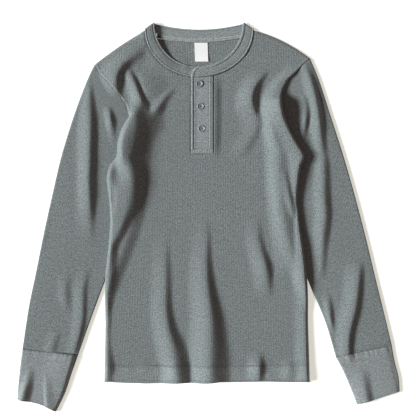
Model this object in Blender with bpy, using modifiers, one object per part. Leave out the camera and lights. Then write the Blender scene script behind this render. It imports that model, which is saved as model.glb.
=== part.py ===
"""Long-sleeved thermal henley top, laid flat on its back.

Metres, +Z up. +X is to the right of someone looking down on the front, +Y runs from the hem to the neck,
and the back panel's underside lies on Z = 0. Tables and sizes are in millimetres, and MM turns them into
metres where the vertices are placed. Left and right are the viewer's.
"""

import math
from collections import namedtuple

import bmesh
import bpy
import numpy as np

MM = 0.001

# Driving dimensions
WALL = 1.5  # knitted cloth of the body and sleeves
SEAM_GAP = 0.3  # between two pieces that a seam joins
FRONT_LEVEL = 3.0  # underside of the front panel where it lies over the back panel
SLEEVE_HEIGHT = FRONT_LEVEL + WALL  # a flattened sleeve, both layers
SLEEVE_LIFT = SLEEVE_HEIGHT + 0.7  # underside of the body where it lies over a sleeve
SLEEVE_CROWN = 2.0  # extra height along the middle of a sleeve
BAND_WALL = 1.9  # doubled knit of the neckband
HEM_DROP = 0.9  # how far the front's hem sinks towards the back's
BACK_HEM_PEEK = 2.0  # how far the back's hem shows below the front's

PLACKET_LEFT, PLACKET_RIGHT, PLACKET_BOTTOM = -30.0, 8.0, 112.0
PLACKET_WALL = 1.5
TAPE_WIDTH, TAPE_WALL = 7.5, 1.0
LABEL_WIDTH, LABEL_LENGTH, LABEL_WALL = 23.0, 33.0, 0.5
LABEL_TOP, LABEL_TURN = (-13.3, 305.2), math.radians(2.2)

BUTTON_RADIUS, BUTTON_HEIGHT, BUTTON_DISH = 6.3, 2.4, 0.7
BUTTON_HOLE_RADIUS, BUTTON_HOLE_APART = 0.7, 2.6

Place = namedtuple("Place", "x y")
Neck = namedtuple("Neck", "x y half_width depth")
Crest = namedtuple("Crest", "y x height left right")
Station = namedtuple("Station", "outer_x outer_y inner_x inner_y")

# The neck is two half ellipses, the band's free edge and its seam, hung from the two neck points.
NECK_EDGE = Neck(x=-17.0, y=338.3, half_width=77.0, depth=75.3)
NECK_SEAM = Neck(x=-16.0, y=326.0, half_width=95.0, depth=81.0)
BACK_EDGE_SAG, BACK_SEAM_SAG = 10.0, 13.0  # dip of the back neck below the neck points
PLACKET_CORNER = 13.5  # reach of the rounded corner where the band runs down into the placket

# Each armhole seam runs from the shoulder point to the first point where the body laps over the sleeve,
# and then, out of sight under the body, to the underarm point.
ARMHOLE_LEFT = [
    Place(-200, 266), Place(-188, 248), Place(-174, 233), Place(-158, 214), Place(-145, 196),
    Place(-138, 176),
]
ARMHOLE_RIGHT = [Place(178, 277), Place(168, 269), Place(157, 258), Place(148, 249), Place(139, 240)]
UNDER_LEFT = [Place(-135, 159), Place(-136, 138), Place(-140, 118), Place(-142, 100)]
UNDER_RIGHT = [Place(123, 219), Place(115, 194), Place(115, 166), Place(122, 142), Place(134, 117)]

# The body's side edges, from the hem up to where each armhole seam comes into sight.
SIDE_LEFT = [
    Place(-182, -287), Place(-180, -190), Place(-179, -95), Place(-174, -50), Place(-171, -5),
    Place(-174, 40), Place(-177, 74), Place(-171, 91), Place(-162, 103), Place(-158, 132), Place(-153, 150),
    Place(-138, 176),
]
SIDE_RIGHT = [
    Place(177, -288), Place(174, -190), Place(171, -95), Place(166, -50), Place(159, -5), Place(156, 35),
    Place(159, 70), Place(162, 89), Place(168, 107), Place(160, 121), Place(145, 147), Place(134, 172),
    Place(128, 200), Place(130, 220), Place(139, 240),
]

# Sections across each sleeve, from the shoulder to the cuff seam.
SLEEVE_LEFT = [
    Station(-200, 266, -142, 100), Station(-213, 238, -138, 84), Station(-235, 180, -136, 56),
    Station(-257, 110, -138, 20), Station(-274, 38, -145, -18), Station(-289, -30, -160, -62),
    Station(-302, -95, -181, -112), Station(-315, -158, -205, -176), Station(-326, -231, -228, -241),
]
SLEEVE_RIGHT = [
    Station(178, 277, 134, 117), Station(194, 238, 133, 96), Station(213, 180, 134, 58),
    Station(237, 105, 138, 18), Station(259, 28, 147, -28), Station(277, -42, 161, -76),
    Station(292, -105, 181, -128), Station(307, -166, 204, -182), Station(321, -224, 223, -245),
]
CUFF_LEFT = [
    Station(-326, -231, -228, -241), Station(-330, -262, -240, -275), Station(-333, -292, -251, -308),
    Station(-335, -319, -267, -341),
]
CUFF_RIGHT = [
    Station(321, -224, 223, -245), Station(326, -252, 236, -270), Station(333, -280, 249, -300),
    Station(335, -305, 260, -328),
]
CUFF_END_BOW = {"left": -4.0, "right": 1.0}  # how far the end of a cuff bows past a straight line

# Folds, each a soft ridge along a crest line, a row for each point down it: the crest's place, its height,
# and how far its left and right flanks reach.
BODY_FOLDS = {
    "shoulder_left": [
        Crest(300, -120, 0, 40, 14), Crest(280, -140, 6, 44, 16), Crest(267, -151, 8, 42, 15),
        Crest(250, -160, 9, 38, 14), Crest(235, -161, 8, 30, 13), Crest(210, -158, 0, 20, 12),
    ],
    "armhole_left": [
        Crest(262, -141, 0, 12, 11), Crest(240, -132, 6, 22, 12), Crest(220, -124, 8, 26, 13),
        Crest(190, -120, 10, 30, 26), Crest(160, -136, 15.5, 28, 50), Crest(145, -143, 16, 20, 52),
        Crest(105, -149, 15.5, 16, 50), Crest(75, -139, 12.5, 70, 36), Crest(40, -138, 10, 90, 30),
        Crest(0, -148, 8, 90, 22), Crest(-30, -160, 6, 40, 18), Crest(-70, -172, 5, 20, 15),
        Crest(-160, -175, 0, 20, 12),
    ],
    "chest_left": [
        Crest(228, -60, 0, 16, 12), Crest(200, -84, 5, 24, 15), Crest(180, -98, 8, 28, 22),
        Crest(168, -106, 8, 28, 26), Crest(142, -122, 0, 26, 28),
    ],
    "chest_right": [
        Crest(258, 98, 0, 34, 12), Crest(240, 89, 4, 38, 14), Crest(220, 79, 7, 38, 14),
        Crest(200, 77, 8, 38, 14), Crest(175, 84, 3, 34, 14), Crest(145, 77, 2, 28, 15),
        Crest(100, 52, 0, 26, 16),
    ],
    "armhole_right": [
        Crest(252, 134, 0, 26, 10), Crest(222, 128, 5, 32, 10), Crest(206, 125, 13, 36, 10),
        Crest(180, 128, 15, 40, 10), Crest(157, 137, 11, 44, 10), Crest(136, 147, 9, 46, 10),
        Crest(104, 163, 8, 40, 10), Crest(75, 155, 6, 14, 10), Crest(40, 152, 4, 10, 10),
        Crest(-20, 158, 4, 14, 10), Crest(-70, 164, 5, 22, 10), Crest(-190, 170, 4, 22, 10),
        Crest(-292, 172, 6, 26, 10),
    ],
    "flank_right": [
        Crest(210, 110, 0, 20, 40), Crest(180, 113, 5, 22, 44), Crest(60, 118, 5, 22, 44),
        Crest(-20, 126, 5, 22, 36), Crest(-60, 134, 4, 24, 30), Crest(-110, 138, 0, 24, 30),
    ],
    "waist_centre": [
        Crest(0, -6, 0, 26, 9), Crest(-79, -5, 4, 32, 13), Crest(-151, 1, 9, 38, 20),
        Crest(-218, 3, 12, 42, 33), Crest(-292, 2, 13, 42, 38),
    ],
    "waist_left": [
        Crest(-36, -76, 0, 24, 11), Crest(-119, -76, 4, 28, 14), Crest(-195, -71, 7, 32, 18),
        Crest(-242, -60, 10, 36, 29), Crest(-292, -55, 11, 36, 32),
    ],
    "waist_right": [
        Crest(0, 84, 0, 24, 12), Crest(-59, 91, 4, 28, 13), Crest(-87, 99, 6, 28, 14),
        Crest(-142, 103, 0, 26, 12),
    ],
    "side_right": [
        Crest(90, 133, 0, 24, 12), Crest(57, 138, 6, 24, 12), Crest(24, 145, 5, 20, 12),
        Crest(-10, 152, 0, 20, 12),
    ],
    "neck_left": [
        Crest(352, -104, 5, 60, 60), Crest(300, -94, 5, 54, 60), Crest(270, -60, 2, 46, 50),
        Crest(258, -44, 0, 44, 46),
    ],
}
SHARED_FOLDS = ("shoulder_left",)  # these also run out over the head of the sleeve
SLEEVE_FOLDS_LEFT = {
    "elbow": [
        Crest(250, -214, 0, 26, 12), Crest(205, -209, 4, 32, 13), Crest(150, -206, 8, 42, 17),
        Crest(75, -207, 8, 40, 18), Crest(40, -207, 8, 38, 17), Crest(-14, -208, 2, 34, 14),
        Crest(-50, -210, 0, 34, 14),
    ],
}
SLEEVE_FOLDS_RIGHT = {
    "outer": [
        Crest(278, 165, 0, 18, 12), Crest(245, 175, 5, 20, 13), Crest(200, 184, 7, 20, 13),
        Crest(160, 191, 7, 20, 13), Crest(108, 196, 0, 20, 12),
    ],
    "elbow": [
        Crest(102, 202, 0, 24, 15), Crest(60, 206, 6, 26, 16), Crest(0, 206, 7, 28, 16),
        Crest(-50, 199, 5, 26, 15), Crest(-118, 191, 0, 22, 14),
    ],
    "forearm": [
        Crest(-74, 263, 0, 26, 14), Crest(-110, 261, 5, 28, 15), Crest(-166, 253, 6, 28, 15),
        Crest(-214, 244, 5, 24, 15),
    ],
}

ROWS = 27  # steps up the body panels
SHOULDER_COLUMNS, SCOOP_COLUMNS, PLACKET_COLUMNS, BACK_COLUMNS = 5, 5, 3, 7
SLEEVE_ROWS = 14
CUFF_ROWS, CUFF_COLUMNS = 4, 6
CUFF_CROWN = 1.2
EDGE_STEP = 7.0  # the first column in from a side edge
BUTTONS = [Place(-15.6, 233.0), Place(-13.8, 193.5), Place(-11.8, 154.5)]

SURFACES = {
    "knit": ((0.18, 0.205, 0.209), 0.95),
    "rib": ((0.175, 0.198, 0.203), 0.92),
    "tape": ((0.2, 0.225, 0.23), 0.9),
    "label": ((0.86, 0.86, 0.87), 0.7),
    "button": ((0.16, 0.18, 0.182), 0.4),
}


# Curves and heights


def smooth(knots, values, at):
    """A smooth curve through values at rising knots, read at each of `at` and held level past both ends."""
    knots, values = np.asarray(knots, float), np.asarray(values, float)
    slopes = np.gradient(values, knots)
    at = np.clip(at, knots[0], knots[-1])
    k = np.clip(np.searchsorted(knots, at, side="right") - 1, 0, len(knots) - 2)
    step = knots[k + 1] - knots[k]
    t = (at - knots[k]) / step
    level = values[k] * (1 + 2 * t) * (1 - t) ** 2 + values[k + 1] * t * t * (3 - 2 * t)
    return level + step * t * (1 - t) * (slopes[k] * (1 - t) - slopes[k + 1] * t)


def ease(t):
    """0 to 1 with level ends."""
    t = np.clip(t, 0, 1)
    return t * t * (3 - 2 * t)


def stations(points, count):
    """`count` steps along a smooth line through the points, one ending on each, the longest split first."""
    path = np.array(points, float)
    lengths = np.linalg.norm(np.diff(path, axis=0), axis=1)
    splits = np.ones(len(lengths), int)
    while splits.sum() < count:
        splits[np.argmax(lengths / splits)] += 1
    knots = np.concatenate([[0.0], np.cumsum(lengths)])
    runs = [np.linspace(knots[k], knots[k + 1], n, endpoint=False) for k, n in enumerate(splits)]
    marks = np.concatenate([*runs, knots[-1:]])
    return np.stack([smooth(knots, path[:, axis], marks) for axis in (0, 1)], axis=1)


def fold_height(fold, x, y):
    """Height that one fold adds at each place."""
    rows = sorted(fold)
    ys = [row.y for row in rows]
    crest, height, left, right = (
        smooth(ys, [getattr(row, name) for row in rows], y) for name in ("x", "height", "left", "right")
    )
    away = np.where(x < crest, (crest - x) / left, (x - crest) / right)
    inside = (y > ys[0] - 1e-6) & (y < ys[-1] + 1e-6)
    return np.where(inside, np.maximum(height, 0) * (1 - ease(away)), 0)


def relief(folds, x, y):
    """Height of all the folds together, where the highest wins rather than stacking up."""
    return np.max([fold_height(fold, x, y) for fold in folds], axis=0)


def side_x(side, y):
    """X of a side edge at a height up the body."""
    return smooth([p.y for p in side], [p.x for p in side], y)


LAP_START, LAP_FADE = 1.28, 24  # where the body starts to ride up beside a hidden sleeve, and over how far
LAP_TOP_FADE = 34


def lift(x, y):
    """How far the body's two layers ride up over the sleeves that are tucked under their side edges."""
    total = np.zeros_like(x)
    for sign, armhole, under, sleeve in (
        (-1, ARMHOLE_LEFT, UNDER_LEFT, SLEEVE_LEFT),
        (1, ARMHOLE_RIGHT, UNDER_RIGHT, SLEEVE_RIGHT),
    ):
        edge = [*armhole[-3:], *under, *(Place(s.inner_x, s.inner_y) for s in sleeve[1:])]
        edge = sorted(edge, key=lambda p: p.y)
        within = sign * (smooth([p.y for p in edge], [p.x for p in edge], y) - x)
        top = armhole[-1].y + 2
        total = np.maximum(total, ease(LAP_START - within / LAP_FADE) * ease(1 - (y - top) / LAP_TOP_FADE))
    return SLEEVE_LIFT * total


# The body's outline as a grid of places


def ellipse(neck, angle):
    """A place on one of the neck's half ellipses: 180 degrees is the left neck point, 360 the right."""
    return neck.x + neck.half_width * np.cos(angle), neck.y + neck.depth * np.sin(angle)


def seam_angles():
    """Angles of the mesh's steps along the front neckline: left scoop, placket and right scoop."""
    left = 2 * math.pi - math.acos((PLACKET_LEFT - NECK_SEAM.x) / NECK_SEAM.half_width)
    right = 2 * math.pi - math.acos((PLACKET_RIGHT - NECK_SEAM.x) / NECK_SEAM.half_width)
    return (
        np.linspace(math.pi, left, SCOOP_COLUMNS + 1),
        np.linspace(left, right, PLACKET_COLUMNS + 1),
        np.linspace(right, 2 * math.pi, SCOOP_COLUMNS + 1),
    )


def patch(left, right, bottom, top):
    """Places between four sides. The top's own shape fades quickly below it."""
    v = np.linspace(0, 1, len(left))[:, None, None]
    u = np.abs((bottom[:, 0] - bottom[0, 0]) / (bottom[-1, 0] - bottom[0, 0]))[None, :, None]
    across = (1 - u) * left[:, None] + u * right[:, None]
    bow = top - ((1 - u) * top[0] + u * top[-1])
    dip = bottom - ((1 - u) * bottom[0] + u * bottom[-1])
    return across + bow * v**3 + dip * (1 - v)


def line(start, end, steps):
    """Places at even steps from one to another."""
    return np.linspace(start, end, steps + 1)


def with_edge_step(points, steps):
    """Steps from an outer end to an inner end, the first of them short."""
    start, end = np.array(points[0], float), np.array(points[1], float)
    first = start + (end - start) * EDGE_STEP / np.linalg.norm(end - start)
    return np.concatenate([[start], line(first, end, steps - 1)])


def bowed(points, bow):
    """Lifts the middle of a line of places."""
    share = (points[:, 0] - points[0, 0]) / (points[-1, 0] - points[0, 0])
    return points + np.stack([0 * share, bow * np.sin(math.pi * share)], axis=1)


SHOULDER_BOW = {"left": 3.3, "right": 7.0}  # how far the shoulder seam rises above a straight line


def side_places(side, armhole):
    """A body edge from the hem to the shoulder point, with a row on every point of the armhole seam."""
    seam = np.array(armhole[::-1], float)
    return np.concatenate([stations(side, ROWS - len(seam) + 1), seam[1:]])


def front_places():
    """The front panel's grid of places. Its columns run straight down both edges of the placket."""
    left, right = side_places(SIDE_LEFT, ARMHOLE_LEFT), side_places(SIDE_RIGHT, ARMHOLE_RIGHT)
    angles = seam_angles()
    scoops = [np.stack(ellipse(NECK_SEAM, a), axis=1) for a in angles]
    outer = SHOULDER_COLUMNS + SCOOP_COLUMNS
    uprights = []
    for x, neck in ((PLACKET_LEFT, scoops[1][0]), (PLACKET_RIGHT, scoops[1][-1])):
        hem = np.interp(x, [left[0, 0], right[0, 0]], [left[0, 1], right[0, 1]])
        below = line((x, hem), (x, PLACKET_BOTTOM), ROWS - placket_rows())
        uprights.append(np.concatenate([below, line((x, PLACKET_BOTTOM), neck, placket_rows())[1:]]))
    shoulder = bowed(with_edge_step((left[-1], scoops[0][0]), SHOULDER_COLUMNS), SHOULDER_BOW["left"])
    bottom = with_edge_step((left[0], uprights[0][0]), outer)
    left_part = patch(left, uprights[0], bottom, np.concatenate([shoulder, scoops[0][1:]]))
    bottom = line(uprights[0][0], uprights[1][0], PLACKET_COLUMNS)
    middle = patch(uprights[0], uprights[1], bottom, scoops[1])
    shoulder = bowed(with_edge_step((right[-1], scoops[2][-1]), SHOULDER_COLUMNS), SHOULDER_BOW["right"])[::-1]
    bottom = with_edge_step((right[0], uprights[1][0]), outer)[::-1]
    right_part = patch(uprights[1], right, bottom, np.concatenate([scoops[2][:-1], shoulder]))
    return np.concatenate([left_part, middle[:, 1:], right_part[:, 1:]], axis=1)


def placket_rows():
    """Rows of the front panel's grid that lie beside the placket."""
    return ROWS // 4


def back_seam_y(x):
    """The back neckline's seam, between the two neck points."""
    across = (x - NECK_SEAM.x) / NECK_SEAM.half_width
    return NECK_SEAM.y - BACK_SEAM_SAG * (1 - across**2)


def back_places(front):
    """The back panel shares the front's outer columns, and runs higher between the neck points."""
    left, right = front[:, : SHOULDER_COLUMNS + 1], front[:, -SHOULDER_COLUMNS - 1 :]
    x = NECK_SEAM.x + NECK_SEAM.half_width * np.linspace(-1, 1, BACK_COLUMNS + 1)
    top = np.stack([x, back_seam_y(x)], axis=1)
    middle = patch(left[:, -1], right[:, 0], line(left[0, -1], right[0, 0], BACK_COLUMNS), top)
    places = np.concatenate([left, middle[:, 1:-1], right], axis=1)
    places[0, :, 1] -= BACK_HEM_PEEK
    return places


EDGE_SHARE, EDGE_FADE = 0.3, 14  # share of a fold's height left at a side edge, and how soon it is whole


def front_under(places):
    """Underside of the front panel at each place: down to the back's edge at the sides and shoulders."""
    x, y = places[..., 0], places[..., 1]
    drop = np.zeros(x.shape)
    sewn = len(ARMHOLE_LEFT), len(ARMHOLE_RIGHT)
    drop[: ROWS - sewn[0] + 1, 0] = 1
    drop[: ROWS - sewn[1] + 1, -1] = 1
    drop[-1, 1:SHOULDER_COLUMNS] = 1
    drop[-1, -SHOULDER_COLUMNS:-1] = 1
    level = FRONT_LEVEL - (FRONT_LEVEL - WALL - SEAM_GAP) * drop
    level[0] -= HEM_DROP * (1 - drop[0])
    rise = relief(BODY_FOLDS.values(), x, y)
    from_side = np.minimum(x - side_x(SIDE_LEFT, y), side_x(SIDE_RIGHT, y) - x)
    below_armholes = np.where(y < ARMHOLE_RIGHT[-1].y, ease(EDGE_SHARE + from_side / EDGE_FADE), 1)
    return level + lift(x, y) + rise * below_armholes * (1 - drop)


# Meshes and objects


def new_object(name, bm, surface, collection):
    bmesh.ops.recalc_face_normals(bm, faces=bm.faces)
    mesh = bpy.data.meshes.new(name)
    bm.to_mesh(mesh)
    bm.free()
    mesh.materials.append(surface)
    piece = bpy.data.objects.new(name, mesh)
    collection.objects.link(piece)
    return piece


def new_surface(name, colour, roughness):
    surface = bpy.data.materials.new(name)
    surface.use_nodes = True
    shader = surface.node_tree.nodes["Principled BSDF"]
    shader.inputs["Base Color"].default_value = (*colour, 1)
    shader.inputs["Roughness"].default_value = roughness
    shader.inputs["Metallic"].default_value = 0
    return surface


def sheet(places, under, wall, left_out=None):
    """A wall of cloth over a grid of places, thickened straight up from its underside."""
    rows, columns = len(places) - 1, len(places[0]) - 1
    bm = bmesh.new()
    bmesh.ops.create_grid(bm, x_segments=columns, y_segments=rows, size=0.5)
    doomed = []
    index = {v: (round((v.co.y + 0.5) * rows), round((v.co.x + 0.5) * columns)) for v in bm.verts}
    if left_out:
        doomed = [f for f in bm.faces if left_out(*np.mean([index[v] for v in f.verts], axis=0))]
    for v, (j, i) in index.items():
        v.co = (places[j, i, 0] * MM, places[j, i, 1] * MM, under[j, i] * MM)
    bmesh.ops.delete(bm, geom=doomed, context="FACES")
    grown = bmesh.ops.extrude_face_region(bm, geom=bm.faces[:])["geom"]
    raised = [g for g in grown if isinstance(g, bmesh.types.BMVert)]
    bmesh.ops.translate(bm, vec=(0, 0, wall * MM), verts=raised)
    return bm


def closed_loft(rings):
    """Skins between each closed ring and the next, and from the last back to the first."""
    bm = bmesh.new()
    loops = [[bm.verts.new(np.array(p) * MM) for p in ring] for ring in rings]
    for here, there in zip(loops, loops[1:] + loops[:1]):
        for k in range(len(here)):
            after = (k + 1) % len(here)
            bm.faces.new((here[k], here[after], there[after], there[k]))
    return bm


def make_front(knit, garment):
    """Front panel with its scooped neck and the slot that the placket closes."""
    places = front_places()
    slot = range(SHOULDER_COLUMNS + SCOOP_COLUMNS, SHOULDER_COLUMNS + SCOOP_COLUMNS + PLACKET_COLUMNS)

    def in_slot(row, column):
        return row > ROWS - placket_rows() and int(column) in slot

    bm = sheet(places, front_under(places), WALL, in_slot)
    return new_object("front_body", bm, knit, garment)


def make_back(knit, garment):
    """Back panel, flat on the surface except where it rides over the sleeves."""
    places = back_places(front_places())
    return new_object("back_body", sheet(places, lift(places[..., 0], places[..., 1]), WALL), knit, garment)


def sleeve_places(table, start, end_bow, across, along):
    """Places across and along a sleeve or cuff. Its first section takes the shape of the start line."""
    knots = np.linspace(0, 1, len(table))
    sides = [smooth(knots, [row[k] for row in table], along) for k in range(4)]
    outer, inner = np.stack(sides[:2], axis=-1)[:, None], np.stack(sides[2:], axis=-1)[:, None]
    t = across[None, :, None]
    straight = outer + (inner - outer) * t
    if start is not None:
        marks = np.linspace(0, 1, len(start))
        first = np.stack([np.interp(across, marks, start[:, k]) for k in (0, 1)], axis=-1)
        straight = straight + (first - straight[0]) * (1 - ease(along / 0.45))[:, None, None]
    dip = end_bow * np.sin(math.pi * t[..., 0]) * ease(along)[:, None]
    return straight - np.stack([np.zeros_like(dip), dip], axis=-1)


def tube(table, start, end_bow, rows, columns, height_at):
    """An open, flattened tube of cloth: outer rings down it, then inner rings back up."""
    along = np.linspace(0, 1, rows + 1)
    radius = SLEEVE_HEIGHT / 2
    rings = {}
    width = np.hypot(table[0].inner_x - table[0].outer_x, table[0].inner_y - table[0].outer_y)
    flat = [k / columns for k in range(1, columns)]
    for name, inset in (("outer", 0.0), ("inner", WALL)):
        turn = radius - inset
        angles = (0, math.pi / 4, math.pi / 2)
        bend = [(radius - turn * math.cos(a)) / width for a in angles]  # in from an edge, round its turn
        rise = [turn * math.sin(a) for a in angles]
        above = np.array([*bend, *flat, *(1 - b for b in bend[::-1])])
        below = above[-2:0:-1]
        top_z = np.array([*rise, *[turn] * len(flat), *rise[::-1]])
        free = np.array([0, 0, 0, *[1] * len(flat), 0, 0, 0])
        upper = sleeve_places(table, start, end_bow, above, along)
        lower = sleeve_places(table, start, end_bow, below, along)
        extra = height_at(upper[..., 0], upper[..., 1], above) * free
        rings[name] = [
            [
                *((x, y, radius + z) for (x, y), z in zip(upper[j], top_z + extra[j])),
                *((x, y, radius - z) for (x, y), z in zip(lower[j], top_z[-2:0:-1])),
            ]
            for j in range(rows + 1)
        ]
    return closed_loft(rings["outer"] + rings["inner"][::-1])


LAP_CLEAR, LAP_FREE = 4, 18  # a sleeve stays flat this near the body's edge, and is free this much on
SLEEVE_EDGE = 0.1  # share of a sleeve's width over which its folds fade at both edges


def make_sleeve(name, table, armhole, under, side, folds, knit, garment):
    """A sleeve from its armhole seam to its cuff seam, its inner edge tucked under the body."""
    sign = math.copysign(1, armhole[0].x)
    start = np.array([*armhole, *under], float)
    start[:, 0] += sign * SEAM_GAP
    shared = [BODY_FOLDS[fold] for fold in SHARED_FOLDS]

    def height_at(x, y, across):
        clear = sign * (x - side_x(side, y))
        from_edge = np.minimum(across, 1 - across) - 0.2 * SLEEVE_EDGE
        open_air = ease((clear - LAP_CLEAR) / LAP_FREE) * ease(from_edge / SLEEVE_EDGE)
        own = relief(folds.values(), x, y) + SLEEVE_CROWN * np.sin(math.pi * across)
        return np.maximum(own * open_air, relief(shared, x, y) * (y > armhole[-1].y))

    return new_object(name, tube(table, start, 0, SLEEVE_ROWS, len(start) - 1, height_at), knit, garment)


def cuff_bulge(x, y, across):
    """Height of a cuff's upper layer over its flat form."""
    return CUFF_CROWN * np.sin(math.pi * across) * np.ones_like(x)


def make_cuff(name, table, end_bow, rib, garment):
    """A cuff, a shorter tube of fine rib that narrows to the wrist."""
    start = np.array([table[0][:2], table[0][2:]], float)
    start[:, 1] -= SEAM_GAP
    return new_object(name, tube(table, start, end_bow, CUFF_ROWS, CUFF_COLUMNS, cuff_bulge), rib, garment)


TURN_STEPS = 6
TURN_LEAN = (0.55, 0.83)  # way in which the band bulges where it turns over at a neck point


def band_sections():
    """The neckband's mid-surface: rows of places from its right end, round the back, to its left end."""
    left, placket, right = seam_angles()
    widths = np.linspace(0, 1, 4)
    low, high = BAND_WALL / 2, FRONT_LEVEL + BAND_WALL / 2
    corner = PLACKET_CORNER * (1 - np.sqrt(1 - (1 - widths) ** 2))

    def front_section(angle, shift):
        free, seam = ellipse(NECK_EDGE, angle), ellipse(NECK_SEAM, angle)
        x = free[0] + (seam[0] - free[0]) * widths + shift * corner
        y = free[1] + (seam[1] - free[1]) * widths + SEAM_GAP * (2 - widths)
        return list(zip(x, y, high + relief(BODY_FOLDS.values(), x, y)))

    def back_section(across):
        free = NECK_EDGE.x + NECK_EDGE.half_width * across, NECK_EDGE.y - BACK_EDGE_SAG * (1 - across**2)
        seam_x = NECK_SEAM.x + NECK_SEAM.half_width * across
        seam = seam_x, back_seam_y(seam_x) + 2 * SEAM_GAP
        return [(free[0] + (seam[0] - free[0]) * w, free[1] + (seam[1] - free[1]) * w, low) for w in widths]

    def turned(section, side):
        """The band's turn between the front layer and the back one, round the line of a neck point."""
        turns = [math.pi * k / TURN_STEPS for k in range(1, TURN_STEPS)]
        reach = (high - low) / 2
        return [
            [
                (
                    x + side * TURN_LEAN[0] * reach * math.sin(a),
                    y + TURN_LEAN[1] * reach * math.sin(a),
                    low + (z - low) * (1 + side * math.cos(a)) / 2,
                )
                for x, y, z in section
            ]
            for a in turns
        ]

    shifts = np.linspace(1, 0, PLACKET_COLUMNS + 1)
    sections = [front_section(a, s) for a, s in zip(placket, shifts)]
    sections += [front_section(a, 0) for a in right[1:]]
    sections += turned(sections[-1], 1)
    sections += [back_section(k) for k in np.linspace(1, -1, BACK_COLUMNS + 1)]
    sections += turned(front_section(left[0], 0), -1)
    sections += [front_section(a, 0) for a in left]
    sections[-1] = [(x - SEAM_GAP + c, y, z) for (x, y, z), c in zip(sections[-1], corner)]
    return sections


def make_neckband(rib, garment):
    """One strip of rib round the neck, turned over at both neck points."""
    sections = band_sections()
    bm = bmesh.new()
    bmesh.ops.create_grid(bm, x_segments=3, y_segments=len(sections) - 1, size=0.5)
    for v in bm.verts:
        j, i = round((v.co.y + 0.5) * (len(sections) - 1)), round((v.co.x + 0.5) * 3)
        v.co = np.array(sections[j][i]) * MM
    band = new_object("neckband", bm, rib, garment)
    wall = band.modifiers.new("wall", "SOLIDIFY")
    wall.thickness = BAND_WALL * MM
    wall.offset = 0
    wall.use_even_offset = True
    return band


def make_placket(rib, garment):
    """Two strips that close the slot: the one with the buttons below, the one with the buttonholes above."""
    first = SHOULDER_COLUMNS + SCOOP_COLUMNS
    places = front_places()[-placket_rows() - 1 :, first : first + PLACKET_COLUMNS + 1].copy()
    places[-1, :, 1] -= 2 * SEAM_GAP
    above = places.copy()
    places[:, 0, 0] += SEAM_GAP
    places[:, -1, 0] -= SEAM_GAP
    places[0, :, 1] += SEAM_GAP
    flat = np.full(places.shape[:2], FRONT_LEVEL)
    new_object("placket_under", sheet(places, flat, PLACKET_WALL), rib, garment)
    new_object("placket_top", sheet(above, flat + PLACKET_WALL + SEAM_GAP, PLACKET_WALL), rib, garment)


TAPE_SPAN, TAPE_STEPS = (-0.78, 0.72), 11  # from end to end, as shares of the neckline's half width


def make_neck_tape(tape, garment):
    """Tape along the inside of the back neckline's seam."""
    x = NECK_SEAM.x + np.linspace(*TAPE_SPAN, TAPE_STEPS) * NECK_SEAM.half_width
    rows = [np.stack([x, back_seam_y(x) - drop], axis=1) for drop in (TAPE_WIDTH, 0)]
    places = np.stack(rows)
    under = np.full(places.shape[:2], WALL + SEAM_GAP)
    return new_object("neck_tape", sheet(places, under, TAPE_WALL), tape, garment)


def make_neck_label(label, garment):
    """Blank label that hangs from the neck tape."""
    down = np.linspace(-LABEL_LENGTH, 0, 4)[:, None]
    across = np.linspace(-0.5, 0.5, 3)[None, :] * LABEL_WIDTH
    x = LABEL_TOP[0] + across * math.cos(LABEL_TURN) - down * math.sin(LABEL_TURN)
    y = np.broadcast_to(LABEL_TOP[1] + down * math.cos(LABEL_TURN), x.shape)
    under = np.full(x.shape, WALL + SEAM_GAP)
    return new_object("neck_label", sheet(np.stack([x, y], axis=-1), under, LABEL_WALL), label, garment)


def make_button(name, place, surface, garment, cutters):
    """A dished button with two holes, turned about Z."""
    base = FRONT_LEVEL + 2 * (PLACKET_WALL + SEAM_GAP)
    top, rim = BUTTON_HEIGHT, BUTTON_RADIUS
    profile = [
        (0, top - BUTTON_DISH), (rim * 0.6, top - BUTTON_DISH), (rim * 0.75, top), (rim * 0.92, top),
        (rim, top * 0.72), (rim, top * 0.4), (rim * 0.85, 0), (0, 0),
    ]
    bm = bmesh.new()
    verts = [bm.verts.new((r * MM, 0, z * MM)) for r, z in profile]
    for a, b in zip(verts, verts[1:]):
        bm.edges.new((a, b))
    button = new_object(name, bm, surface, garment)
    turn = button.modifiers.new("turn", "SCREW")
    turn.steps = turn.render_steps = 16
    turn.use_merge_vertices = True
    turn.merge_threshold = 0.0001
    button.location = (place.x * MM, place.y * MM, base * MM)
    for side in (-1, 1):
        bm = bmesh.new()
        bmesh.ops.create_cone(
            bm,
            cap_ends=True,
            segments=8,
            radius1=BUTTON_HOLE_RADIUS * MM,
            radius2=BUTTON_HOLE_RADIUS * MM,
            depth=4 * BUTTON_HEIGHT * MM,
        )
        drill = new_object(f"{name}_drill_{side:+d}", bm, surface, cutters)
        drill.location = (place.x * MM, (place.y + side * BUTTON_HOLE_APART / 2) * MM, (base + top / 2) * MM)
        drill.hide_render = True
        drill.display_type = "WIRE"
        hole = button.modifiers.new("hole", "BOOLEAN")
        hole.object = drill
    return button


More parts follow.
